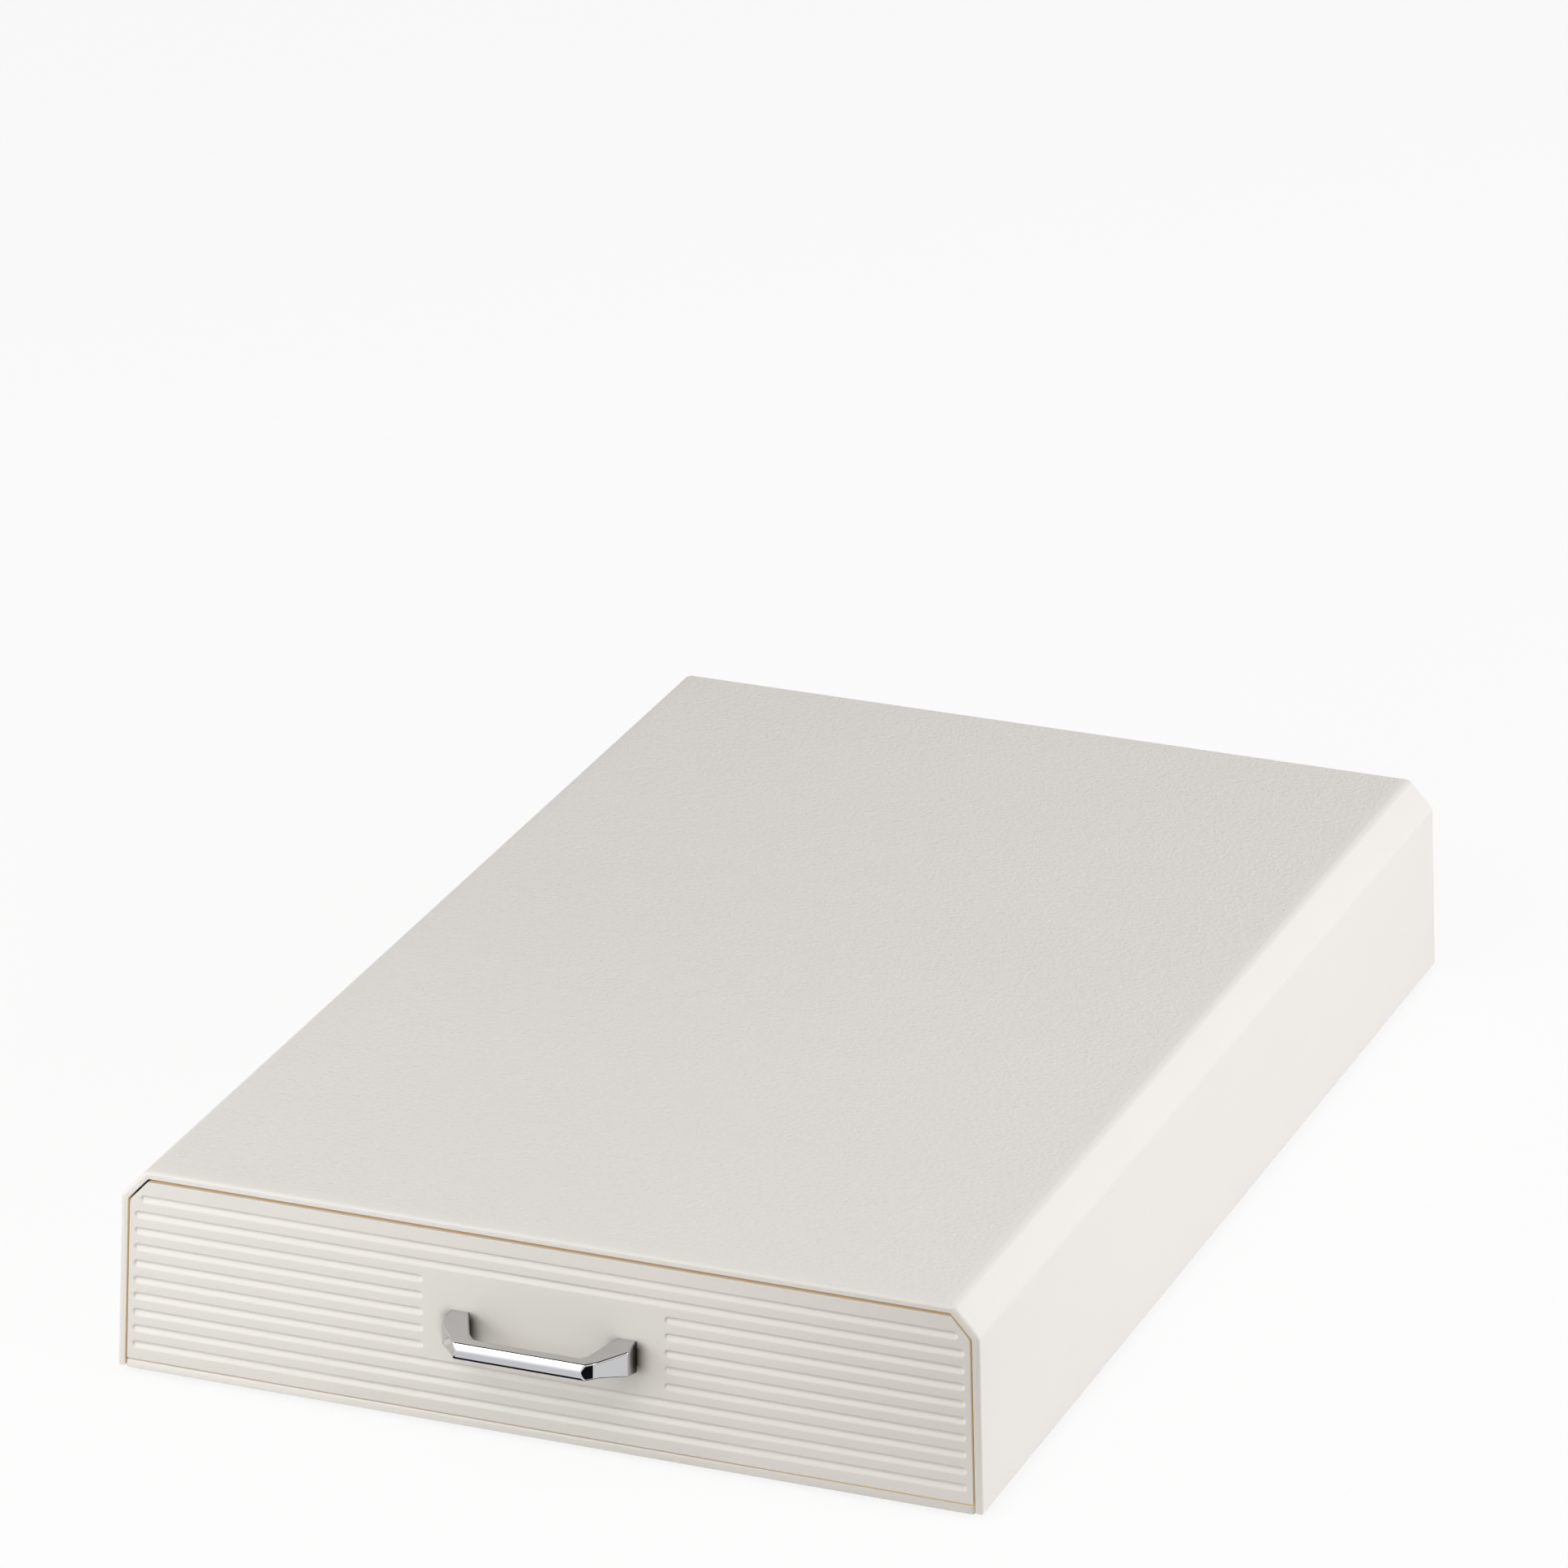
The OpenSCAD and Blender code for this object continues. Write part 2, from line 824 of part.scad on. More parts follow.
module drawer_tray() {
    color(tray_white)
        placed() {
            difference() {
                translate([0, 0, tray_z])
                    linear_extrude(height = tray_h)
                        round_rectangle(tray_half, tray_front, tray_back, tray_r);
                translate([0, 0, floor_z])
                    linear_extrude(height = tray_h)
                        round_rectangle(tray_half - tray_wall, tray_front + tray_wall,
                                        tray_back - tray_wall, tray_r - tray_wall / 2);
                for (x = boss_xs)
                    for (z = boss_zs)
                        translate([x, tray_front - cut, z])
                            rotate([-90, 0, 0])
                                cylinder(h = tray_wall + 2 * cut, r = screw_r + pass);
            }
            divider_guides();
            both_sides() {
                block([tray_half - bite, tray_front + tray_r, tongue_z],
                      [tray_half + tongue_w, tray_back, tongue_z + tongue_t]);
                block([tray_half - tray_wall / 2, lug_front, tongue_z + bite],
                      [tray_half + side_gap - bite, tray_back, lug_z + lug_h]);
                block([tray_half - tray_wall / 2, lug_front, lug_z],
                      [tray_half + tongue_w, tray_back, lug_z + lug_h]);
            }
        }
}

// Outline of a lane divider seen from the side, with rounded upper corners
module divider_outline() {
    y0 = tray_front + tray_wall + divider_play;
    y1 = tray_back - tray_wall - divider_play;
    top = floor_z + divider_h;
    translate([y0, floor_z])
        square([y1 - y0, divider_h - divider_r]);
    translate([y0 + divider_r, floor_z])
        square([y1 - y0 - 2 * divider_r, divider_h]);
    for (y = [y0 + divider_r, y1 - divider_r])
        translate([y, top - divider_r])
            circle(divider_r);
}

// Lane divider number i, counted from the left
module lane_divider(i) {
    x = (i - lanes / 2) * lane_pitch;
    color(tray_white)
        placed()
            along_x(x - divider_t / 2, x + divider_t / 2)
                divider_outline();
}

module lane_divider_1() {
    lane_divider(1);
}

module lane_divider_2() {
    lane_divider(2);
}

module lane_divider_3() {
    lane_divider(3);
}

module lane_divider_4() {
    lane_divider(4);
}

housing_shell();
base_plate();
base_screws();
runner_left();
runner_right();
runner_screws();
stop_buffer_left();
stop_buffer_right();
rear_buffer_left();
rear_buffer_right();
foot_front_left();
foot_front_right();
foot_rear_left();
foot_rear_right();
drawer_tray();
drawer_front();
front_screws();
handle();
handle_washers();
handle_screws();
lane_divider_1();
lane_divider_2();
lane_divider_3();
lane_divider_4();
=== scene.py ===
"""Looks of the capsule drawer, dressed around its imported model.

Everything is in metres, in the model's own frame: +Z up, the drawer's front towards -Y,
and the unit standing on Z = 0. The sizes that the frame doesn't give are named in millimetres.
"""

import json
import math

import bmesh
import bpy
from mathutils import Matrix, Vector

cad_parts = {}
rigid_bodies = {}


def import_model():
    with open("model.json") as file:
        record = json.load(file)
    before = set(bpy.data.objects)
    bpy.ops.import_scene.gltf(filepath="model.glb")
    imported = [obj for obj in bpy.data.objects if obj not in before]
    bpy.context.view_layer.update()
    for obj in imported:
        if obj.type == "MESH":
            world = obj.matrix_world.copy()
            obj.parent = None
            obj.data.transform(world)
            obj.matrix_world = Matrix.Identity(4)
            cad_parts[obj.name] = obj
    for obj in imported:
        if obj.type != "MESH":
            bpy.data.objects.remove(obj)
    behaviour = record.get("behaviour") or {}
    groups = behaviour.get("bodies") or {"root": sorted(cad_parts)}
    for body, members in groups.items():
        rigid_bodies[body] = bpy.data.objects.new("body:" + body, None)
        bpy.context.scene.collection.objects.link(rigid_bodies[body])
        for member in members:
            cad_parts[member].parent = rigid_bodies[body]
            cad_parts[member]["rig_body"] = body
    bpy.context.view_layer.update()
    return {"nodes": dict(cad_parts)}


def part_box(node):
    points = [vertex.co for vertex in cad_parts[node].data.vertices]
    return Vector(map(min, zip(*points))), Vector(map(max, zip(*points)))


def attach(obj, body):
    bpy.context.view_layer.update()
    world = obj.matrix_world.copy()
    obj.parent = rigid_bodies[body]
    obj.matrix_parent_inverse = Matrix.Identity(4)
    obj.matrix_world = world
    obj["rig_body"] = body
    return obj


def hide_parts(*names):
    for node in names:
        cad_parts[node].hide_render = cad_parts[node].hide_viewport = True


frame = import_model()

MM = 0.001

# ---- sizes of the real object

shell_low, shell_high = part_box("housing_shell")
front_low, front_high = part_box("drawer_front")
tray_low, tray_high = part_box("drawer_tray")
handle_low, handle_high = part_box("handle")
plate_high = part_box("base_plate")[1]

FRONT_Y = shell_low.y
CASE_Z = shell_low.z
TOP_Z = shell_high.z
HALF_W = shell_high.x
BACK_Y = shell_high.y

WALL = 2.05 * MM
TOP_T = 2.25 * MM
SIDE_DRAFT = math.radians(2.15)
BACK_DRAFT = math.radians(2.7)
BEVEL_W = 7 * MM
BEVEL_H = 7.7 * MM
BEVEL_Z = TOP_Z - BEVEL_H
BEVEL_NX = BEVEL_H / math.hypot(BEVEL_W, BEVEL_H)
BEVEL_NZ = BEVEL_W / math.hypot(BEVEL_W, BEVEL_H)

FRONT_GAP = 0.5 * MM
PLATE_T = 3 * MM
FLANGE_T = 2 * MM
GROOVES = 10
GROOVE_TOP = 4.9 * MM
GROOVE_PITCH = 4.6 * MM
GROOVE_W = 2.4 * MM
GROOVE_MARGIN = 1.3 * MM
PLAIN_W = 65.6 * MM
PLAIN_FIRST = 2
PLAIN_LAST = 6
HANDLE_FOOT_W = 5.4 * MM

LANES = 5
TRAY_WALL = 2 * MM
TRAY_FLOOR = 2 * MM
TRAY_R = 4 * MM
TONGUE_W = 5 * MM
DIVIDER_R = 6 * MM
DIVIDER_PLAY = 0.2 * MM
GUIDE_T = 1.5 * MM
GUIDE_D = 2.5 * MM


def side_x(z, inset=0.0):
    """Half width of the side wall's surface, set in by inset, at height z."""
    return HALF_W - (z - CASE_Z) * math.tan(SIDE_DRAFT) - inset / math.cos(SIDE_DRAFT)


def bevel_x(z, inset=0.0):
    """Half width of the long bevel's surface, set in by inset, at height z."""
    return side_x(BEVEL_Z) - (inset + (z - BEVEL_Z) * BEVEL_NZ) / BEVEL_NX


def corner_z(inset):
    """Height where the side wall meets the bevel, both set in by inset."""
    steep = BEVEL_NZ / BEVEL_NX - math.tan(SIDE_DRAFT)
    return BEVEL_Z + (bevel_x(BEVEL_Z, inset) - side_x(BEVEL_Z, inset)) / steep


def back_y(z, inset=0.0):
    """Y of the back wall's surface, set in by inset, at height z."""
    return BACK_Y - (z - CASE_Z) * math.tan(BACK_DRAFT) - inset / math.cos(BACK_DRAFT)


def section(inset, top_inset):
    """Corners (x, z) of the housing's section, from the lower left over the top."""
    top = TOP_Z - top_inset
    corner = corner_z(inset)
    right = [(bevel_x(top, inset), top), (side_x(corner, inset), corner),
             (side_x(CASE_Z, inset), CASE_Z)]
    return [(-x, z) for x, z in reversed(right)] + right


# ---- mesh tools

def arc(middle, radius, start, end, steps):
    """Points (u, v) along an arc, its angles in degrees, both ends included."""
    turns = [math.radians(start + (end - start) * i / steps) for i in range(steps + 1)]
    return [(middle[0] + radius * math.cos(turn), middle[1] + radius * math.sin(turn))
            for turn in turns]


def rounded(corner, before, after, radius, steps):
    """Points that round off a corner between its two neighbours."""
    corner, before, after = Vector(corner), Vector(before), Vector(after)
    to_before = (before - corner).normalized()
    to_after = (after - corner).normalized()
    half = to_before.angle(to_after) / 2
    middle = corner + (to_before + to_after).normalized() * radius / math.sin(half)
    first = corner + to_before * radius / math.tan(half)
    last = corner + to_after * radius / math.tan(half)
    from_here, to_here = (first - middle) / radius, (last - middle) / radius
    return [tuple(middle + from_here.slerp(to_here, i / steps) * radius) for i in range(steps + 1)]


def inset_outline(points, inset):
    """A closed outline (u, v), listed clockwise, moved inwards by inset."""
    moved = []
    count = len(points)
    for i, point in enumerate(points):
        here = Vector(point)
        back = (here - Vector(points[i - 1])).normalized()
        ahead = (Vector(points[(i + 1) % count]) - here).normalized()
        normal_a = Vector((back.y, -back.x))
        normal_b = Vector((ahead.y, -ahead.x))
        spread = 1 + normal_a.dot(normal_b)
        moved.append(tuple(here + (normal_a + normal_b) * inset / spread))
    return moved


def loft(bm, rings, start_cap=True):
    """Joins rings of equally many 3-D points into a skin and returns its rings of vertices."""
    made = [[bm.verts.new(p) for p in ring] for ring in rings]
    for a, b in zip(made, made[1:]):
        for i in range(len(a)):
            j = (i + 1) % len(a)
            bm.faces.new((a[i], a[j], b[j], b[i]))
    if start_cap:
        bm.faces.new(list(reversed(made[0])))
    bm.faces.new(made[-1])
    return made


BLOCK_STEPS = 3
ROUND_PROFILE = 0.5


def block(bm, low, high, radius):
    """A closed box between two corners with rounded edges, added to bm."""
    made = bmesh.ops.create_cube(bm, size=1.0)["verts"]
    for vert in made:
        vert.co = Vector([low[i] if vert.co[i] < 0 else high[i] for i in range(3)])
    edges = list(dict.fromkeys(edge for vert in made for edge in vert.link_edges))
    bmesh.ops.bevel(bm, geom=edges, offset=radius, segments=BLOCK_STEPS, profile=ROUND_PROFILE,
                    affect="EDGES")


def lathe(bm, x, z, profile, steps):
    """Turns a closed profile (radius, y) round the line through x and z along Y."""
    last = 360 * (1 - 1 / steps)
    loft(bm, [[(a, y, b) for a, b in arc((x, z), radius, 0, -last, steps - 1)]
              for radius, y in profile])


WIDEST_EDGE = 3 * MM
SAME_PLACE = 1e-7
FLAT_ANGLE = math.radians(1)


def weigh_edges(bm, radii):
    """Weighs each edge in radii, a list of (vertex, vertex, radius), to be rounded so."""
    bmesh.ops.recalc_face_normals(bm, faces=bm.faces)
    layer = bm.edges.layers.float.new("bevel_weight_edge")
    for a, b, radius in radii:
        edge = bm.edges.get((a, b))
        edge[layer] = radius * math.tan(edge.calc_face_angle(0.0) / 2) / WIDEST_EDGE


def round_edges(piece, width, segments, sharper_than=None):
    """Rounds a piece's weighed edges, or those that turn by more degrees than sharper_than."""
    bevel = piece.modifiers.new("rounded edges", "BEVEL")
    bevel.limit_method = "WEIGHT"
    if sharper_than:
        bevel.limit_method = "ANGLE"
        bevel.angle_limit = math.radians(sharper_than)
    bevel.width = width
    bevel.segments = segments
    bevel.use_clamp_overlap = False
    bevel.harden_normals = True


def weighted_normals(piece):
    """Keeps the large flat faces flat where soft edges run into them."""
    weigh = piece.modifiers.new("flat faces", "WEIGHTED_NORMAL")
    weigh.mode = "FACE_AREA"
    weigh.weight = 100


def skin_of(node, merged=True):
    """A copy of a CAD node's skin; merged joins the triangles of its flat faces."""
    bm = bmesh.new()
    bm.from_mesh(frame["nodes"][node].data)
    bmesh.ops.remove_doubles(bm, verts=bm.verts, dist=SAME_PLACE)
    if merged:
        bmesh.ops.dissolve_limit(bm, angle_limit=FLAT_ANGLE, verts=bm.verts, edges=bm.edges)
    return bm


def mesh_from(bm, name):
    """Turns bm into a mesh."""
    mesh = bpy.data.meshes.new(name)
    bm.to_mesh(mesh)
    bm.free()
    return mesh


def placed(name, data):
    """A new object in the scene."""
    thing = bpy.data.objects.new(name, data)
    bpy.context.scene.collection.objects.link(thing)
    return thing


def piece_from(bm, name, node, material):
    """Makes bm a piece that stands for a CAD node and moves with the body of that node."""
    bmesh.ops.recalc_face_normals(bm, faces=bm.faces)
    mesh = mesh_from(bm, name)
    mesh.shade_smooth()
    mesh.materials.append(material)
    piece = placed(name, mesh)
    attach(piece, frame["nodes"][node]["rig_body"])
    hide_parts(node)
    return piece


# ---- shader tools

# Sockets of the Mix node that hold colours.
COLOUR_A, COLOUR_B, COLOUR_OUT = 6, 7, 2


class Shader:
    """A node tree with short ways to add nodes and links."""

    def __init__(self, tree):
        self.tree = tree

    def add(self, kind, inputs=None, **settings):
        """Adds a node; inputs maps a socket's name or number to a value or to another output."""
        node = self.tree.nodes.new(kind)
        for key, value in settings.items():
            setattr(node, key, value)
        for key, value in (inputs or {}).items():
            if isinstance(value, bpy.types.NodeSocket):
                self.tree.links.new(value, node.inputs[key])
            else:
                node.inputs[key].default_value = value
        return node

    def finish(self, kind, inputs, output="ShaderNodeOutputMaterial"):
        """Adds the shader node that is shown."""
        self.add(output, {"Surface": self.add(kind, inputs).outputs[0]})

    def place(self, kind="Object"):
        """Coordinates of the shaded point."""
        return self.add("ShaderNodeTexCoord").outputs[kind]

    def axes(self, vector):
        """The X, Y and Z of a vector."""
        return self.add("ShaderNodeSeparateXYZ", {0: vector}).outputs

    def attribute(self, name):
        """A value that the mesh's vertices carry, 0 where they don't."""
        return self.add("ShaderNodeAttribute", attribute_name=name).outputs["Fac"]

    def math(self, operation, a, b=0.0, clamp=False):
        return self.add("ShaderNodeMath", {0: a, 1: b}, operation=operation,
                        use_clamp=clamp).outputs[0]

    def product(self, first, *others):
        for other in others:
            first = self.math("MULTIPLY", first, other)
        return first

    def blend(self, factor, a, b):
        """Mixes two colours."""
        return self.add("ShaderNodeMix", {0: factor, COLOUR_A: a, COLOUR_B: b},
                        data_type="RGBA").outputs[COLOUR_OUT]

    def remap(self, value, low, high, new_low=0.0, new_high=1.0):
        """Takes low..high to new_low..new_high and stays at their ends beyond."""
        return self.add("ShaderNodeMapRange", {"Value": value, "From Min": low, "From Max": high,
                                               "To Min": new_low, "To Max": new_high}).outputs[0]

    def noise(self, vector, scale, detail, **more):
        """A noise from 0 to 1; more holds its other sockets."""
        return self.add("ShaderNodeTexNoise", {"Vector": vector, "Scale": scale,
                                               "Detail": detail, **more}).outputs[0]

    def swing(self, noise, span):
        """A noise moved to swing round 0 by span."""
        return self.math("MULTIPLY", self.math("SUBTRACT", noise, 0.5), span)

    def bump(self, height, depth, **more):
        """The normal of a surface with this height map on it."""
        return self.add("ShaderNodeBump", {"Height": height, "Distance": depth,
                                           "Strength": 1.0, **more}).outputs["Normal"]


def shader_group(name, inputs, outputs):
    """An empty node group; inputs and outputs map a socket's name to its type."""
    tree = bpy.data.node_groups.new(name, "ShaderNodeTree")
    for in_out, sockets in (("INPUT", inputs), ("OUTPUT", outputs)):
        for label, kind in sockets.items():
            tree.interface.new_socket(label, in_out=in_out, socket_type=f"NodeSocket{kind}")
    return Shader(tree), tree.nodes.new("NodeGroupInput"), tree.nodes.new("NodeGroupOutput")


def build_moulded_grain():
    """Height of a fine spark-eroded grain of small soft pebbles."""
    shader, given, result = shader_group(
        "Moulded grain", {"Vector": "Vector", "Pebble size mm": "Float"}, {"Height": "Float"})
    scale = shader.math("DIVIDE", 1 / MM, given.outputs["Pebble size mm"])
    height = shader.noise(given.outputs["Vector"], scale, detail=1.0, Roughness=0.6,
                          Distortion=0.15)
    shader.tree.links.new(height, result.inputs["Height"])
    return shader.tree


COLOUR_DRIFT = 0.04
GLOSS_DRIFT = 0.12


def build_plastic_tone():
    """Slow drifts of a moulding's colour and gloss, and its painted warm glow inside narrow gaps.
    """
    shader, given, result = shader_group(
        "Plastic tone",
        {"Vector": "Vector", "Colour": "Color", "Glow colour": "Color", "Glow": "Float",
         "Roughness": "Float"},
        {"Colour": "Color", "Roughness": "Float"})
    vector = given.outputs["Vector"]
    flow = shader.noise(vector, scale=9.0, detail=3.0)
    wiped = shader.noise(vector, scale=60.0, detail=4.0, Roughness=0.6)
    lit = shader.math("ADD", shader.swing(flow, COLOUR_DRIFT), 1.0)
    toned = shader.add("ShaderNodeVectorMath", {0: given.outputs["Colour"], "Scale": lit},
                       operation="SCALE")
    colour = shader.blend(given.outputs["Glow"], toned.outputs[0], given.outputs["Glow colour"])
    rough = shader.math("ADD", given.outputs["Roughness"], shader.swing(wiped, GLOSS_DRIFT),
                        clamp=True)
    shader.tree.links.new(colour, result.inputs["Colour"])
    shader.tree.links.new(rough, result.inputs["Roughness"])
    return shader.tree


MOULDED_GRAIN = build_moulded_grain()
PLASTIC_TONE = build_plastic_tone()


def new_material(name):
    material = bpy.data.materials.new(name)
    material.use_nodes = True
    material.node_tree.nodes.clear()
    return material, Shader(material.node_tree)


def moulded_grain(shader, place, size_mm):
    return shader.add("ShaderNodeGroup", {"Vector": place, "Pebble size mm": size_mm},
                      node_tree=MOULDED_GRAIN).outputs["Height"]


def srgb(*levels):
    """Linear colour of a bright 8-bit sRGB one."""
    return (*(((level / 255 + 0.055) / 1.055) ** 2.4 for level in levels), 1.0)


# ---- masks in the plastic

# The grain of the top fades in from the first place to the second, along each axis.
GRAIN_X = (bevel_x(TOP_Z) - 0.5 * MM, bevel_x(TOP_Z) - 3 * MM)
GRAIN_Y = (FRONT_Y + 1.6 * MM, FRONT_Y + 4 * MM)
GRAIN_Z = (TOP_Z - 0.6 * MM, TOP_Z - 0.1 * MM)


def flat_top(shader, place):
    """1 on the housing's flat top, 0 elsewhere."""
    x, y, z = shader.axes(place)
    return shader.product(shader.remap(z, *GRAIN_Z),
                          shader.remap(shader.math("ABSOLUTE", x), *GRAIN_X),
                          shader.remap(y, *GRAIN_Y))


# Where the painted warm light on the base plate's top begins, ends and grows towards the right.
SILL_BEGINS = (FRONT_Y + 0.2 * MM, FRONT_Y + 0.9 * MM)
SILL_ENDS = (FRONT_Y + 2 * MM, FRONT_Y + 4 * MM)
SILL_TOP = (plate_high.z - 0.5 * MM, plate_high.z - 0.1 * MM)
SILL_GROWS = (0.2 * HALF_W, 0.9 * HALF_W)
SILL_LEFT_SHARE = 0.1


def painted_sill_glow(shader, place):
    """How much painted warm light the base plate's top takes in the narrow gap under the drawer
    front.
    """
    x, y, z = shader.axes(place)
    return shader.product(shader.remap(y, *SILL_BEGINS), shader.remap(y, *SILL_ENDS, 1.0, 0.0),
                          shader.remap(z, *SILL_TOP),
                          shader.remap(x, *SILL_GROWS, SILL_LEFT_SHARE, 1.0))


def painted_edge_glow(shader, place):
    """How much painted warm light an edge beside a narrow gap takes, as its mesh says."""
    return shader.attribute("glow")


# Reach, rounding, falloff and colour of the painted shadow beside the handle's feet.
SHADE_REACH = 4 * MM
SHADE_ROUNDING = 2.5 * MM
SHADE_FALLOFF = 2.0
SHADE_COLOUR = (0.1, 0.068, 0.028, 1)


def painted_contact_shadow(shader, place):
    """How much painted shadow darkens the drawer front beside the handle's feet, where hardly any
    light gets in.
    """
    def beyond(value, middle, half):
        off = shader.math("ABSOLUTE", shader.math("SUBTRACT", value, middle))
        return shader.math("MAXIMUM", shader.math("SUBTRACT", off, half), 0.0)

    x, _, z = shader.axes(place)
    foot_x = handle_high.x - HANDLE_FOOT_W / 2
    foot_z = (handle_low.z + handle_high.z) / 2
    foot_half = (handle_high.z - handle_low.z) / 2
    across = beyond(shader.math("ABSOLUTE", x), foot_x, HANDLE_FOOT_W / 2)
    along = beyond(z, foot_z, foot_half - SHADE_ROUNDING)
    apart = shader.math("SQRT", shader.math("ADD", shader.product(across, across),
                                            shader.product(along, along)))
    return shader.math("POWER", shader.remap(apart, 0.0, SHADE_REACH, 1.0, 0.0), SHADE_FALLOFF)


# ---- materials

BLACK = (0, 0, 0, 1)
# Colour of the light that the painted warm glow gives off inside narrow gaps.
GLOW_LIGHT = (1.0, 0.78, 0.44, 1.0)
FINE_SCALE = 2600.0


def plastic(name, colour, roughness, grain_mm, grain_depth, fine_depth=0.0, grain_where=None,
            shade_where=None, glow_where=None, glow_colour=None, glow_strength=0.0):
    """Moulded plastic; each where is a mask function that says where an effect shows."""
    material, shader = new_material(name)
    place = shader.place()
    tone_inputs = {"Vector": place, "Colour": colour, "Roughness": roughness}
    if glow_where:
        glow = glow_where(shader, place)
        tone_inputs.update({"Glow": glow, "Glow colour": glow_colour})
    tone = shader.add("ShaderNodeGroup", tone_inputs, node_tree=PLASTIC_TONE)
    height = moulded_grain(shader, place, grain_mm)
    if grain_where:
        height = shader.product(height, grain_where(shader, place))
    normal = shader.bump(height, grain_depth)
    if fine_depth:
        fine = shader.noise(place, FINE_SCALE, detail=2.0)
        normal = shader.bump(fine, fine_depth, Normal=normal)
    base = tone.outputs["Colour"]
    # The shade mask paints a shadow into the base colour.
    if shade_where:
        base = shader.blend(shade_where(shader, place), base, SHADE_COLOUR)
    inputs = {"Base Color": base, "Roughness": tone.outputs["Roughness"], "Normal": normal}
    # The painted warm glow in narrow gaps also shines a little, as light of its own.
    if glow_where:
        inputs["Emission Color"] = shader.blend(glow, BLACK, GLOW_LIGHT)
        inputs["Emission Strength"] = glow_strength
        material.cycles.emission_sampling = "NONE"
    shader.finish("ShaderNodeBsdfPrincipled", inputs)
    return material


# Where most values of a noise lie, and how far the roughness swings between them.
NOISE_SPAN = (0.3, 0.7)
ROUGH_SPAN = (0.7, 1.5)
SMEAR_SCALE = 220.0
WAVE_SCALE = 500.0
# Where the painted shade on the handle's feet fades in, and the colour it paints.
ROOT_SHADE_FADE = (0.1, 0.6)
PAINTED_ROOT_SHADE = (0.012, 0.011, 0.008, 1)


def metal(name, colour, roughness, wave_depth, brush_mm=0.0, painted_root_shade=False):
    """Bare or plated metal with slight waves; its last option paints shade on the sides of the
    handle's feet.
    """
    material, shader = new_material(name)
    place = shader.place()
    low, high = (roughness * share for share in ROUGH_SPAN)
    rough = shader.remap(shader.noise(place, SMEAR_SCALE, detail=4.0), *NOISE_SPAN, low, high)
    height = shader.noise(place, WAVE_SCALE, detail=1.0)
    if brush_mm:
        brushed = shader.noise(place, 1 / MM / brush_mm, detail=2.0)
        height = shader.math("ADD", height, brushed)
    # Painted shade: the chrome darkens on the feet's sides near the drawer front, in place of the
    # dark it would reflect there.
    if painted_root_shade:
        rooted = shader.remap(shader.attribute("shade"), *ROOT_SHADE_FADE)
        sideways = shader.math("ABSOLUTE", shader.axes(shader.place("Normal"))[0])
        colour = shader.blend(shader.math("MULTIPLY", rooted, sideways, clamp=True), colour,
                              PAINTED_ROOT_SHADE)
    shader.finish("ShaderNodeBsdfPrincipled",
                  {"Base Color": colour, "Metallic": 1.0, "Roughness": rough,
                   "Normal": shader.bump(height, wave_depth)})
    return material


def rubber(name, dark, light, roughness, pit_mm, pit_depth):
    """Matt rubber with a fine pitted face."""
    material, shader = new_material(name)
    height = moulded_grain(shader, shader.place(), pit_mm)
    shader.finish("ShaderNodeBsdfPrincipled",
                  {"Base Color": shader.blend(height, dark, light), "Roughness": roughness,
                   "Normal": shader.bump(height, pit_depth)})
    return material


WHITE = srgb(236, 232, 227)
# Colours of the painted warm glow in the narrow gaps, on the front's edges and in the mouth.
EDGE_GLOW = srgb(240, 229, 209)
MOUTH_GLOW = srgb(240, 212, 164)
TRAY_WHITE = srgb(232, 229, 224)

white_housing = plastic("Grained white housing", WHITE, roughness=0.48, grain_mm=1.15,
                        grain_depth=0.38 * MM, fine_depth=0.004 * MM, grain_where=flat_top,
                        glow_where=painted_edge_glow, glow_colour=MOUTH_GLOW, glow_strength=0.06)
white_front = plastic("Satin white front", WHITE, roughness=0.42, grain_mm=0.5,
                      grain_depth=0.003 * MM, shade_where=painted_contact_shadow,
                      glow_where=painted_edge_glow, glow_colour=EDGE_GLOW, glow_strength=0.14)
white_base = plastic("Satin white base", WHITE, roughness=0.5, grain_mm=0.6,
                     grain_depth=0.008 * MM, glow_where=painted_sill_glow, glow_colour=MOUTH_GLOW,
                     glow_strength=0.16)
tray_plastic = plastic("Smooth tray plastic", TRAY_WHITE, roughness=0.36, grain_mm=0.9,
                       grain_depth=0.004 * MM)
divider_plastic = plastic("Frosted divider plastic", TRAY_WHITE, roughness=0.44, grain_mm=0.6,
                          grain_depth=0.008 * MM)
nylon = plastic("Waxy nylon", srgb(222, 217, 204), roughness=0.33, grain_mm=0.7,
                grain_depth=0.005 * MM)
chrome = metal("Chrome plating", (0.555, 0.558, 0.566, 1), roughness=0.035,
               wave_depth=0.002 * MM, painted_root_shade=True)
zinc = metal("Bright zinc", (0.62, 0.63, 0.64, 1), roughness=0.28, wave_depth=0.004 * MM,
             brush_mm=0.25)
black_rubber = rubber("Matt black rubber", (0.018, 0.018, 0.019, 1), (0.05, 0.05, 0.052, 1),
                      roughness=0.75, pit_mm=0.5, pit_depth=0.04 * MM)


# ---- housing

LOWER_R = 0.4 * MM
BACK_R = 1.2 * MM

# Radii of the rim round the mouth: left side, left bevel, top, right bevel, right side.
RIM_R = (0.8 * MM, 1.1 * MM, 1.7 * MM, 1.1 * MM, 0.8 * MM)
RIM_INNER_R = 0.18 * MM

# Radii of the long edges from the lower left over the top to the lower right.
LONG_R = (LOWER_R, 2.4 * MM, 2.8 * MM, 2.8 * MM, 2.4 * MM, LOWER_R)
LONG_INNER_R = (LOWER_R, 1 * MM, 1 * MM, 1 * MM, 1 * MM, LOWER_R)

# How much of the painted warm glow between the walls and the drawer front shows at each depth.
GLOW = {0.0: 0.0, 0.6 * MM: 1.0, 1.8 * MM: 1.0, 3.6 * MM: 0.0}


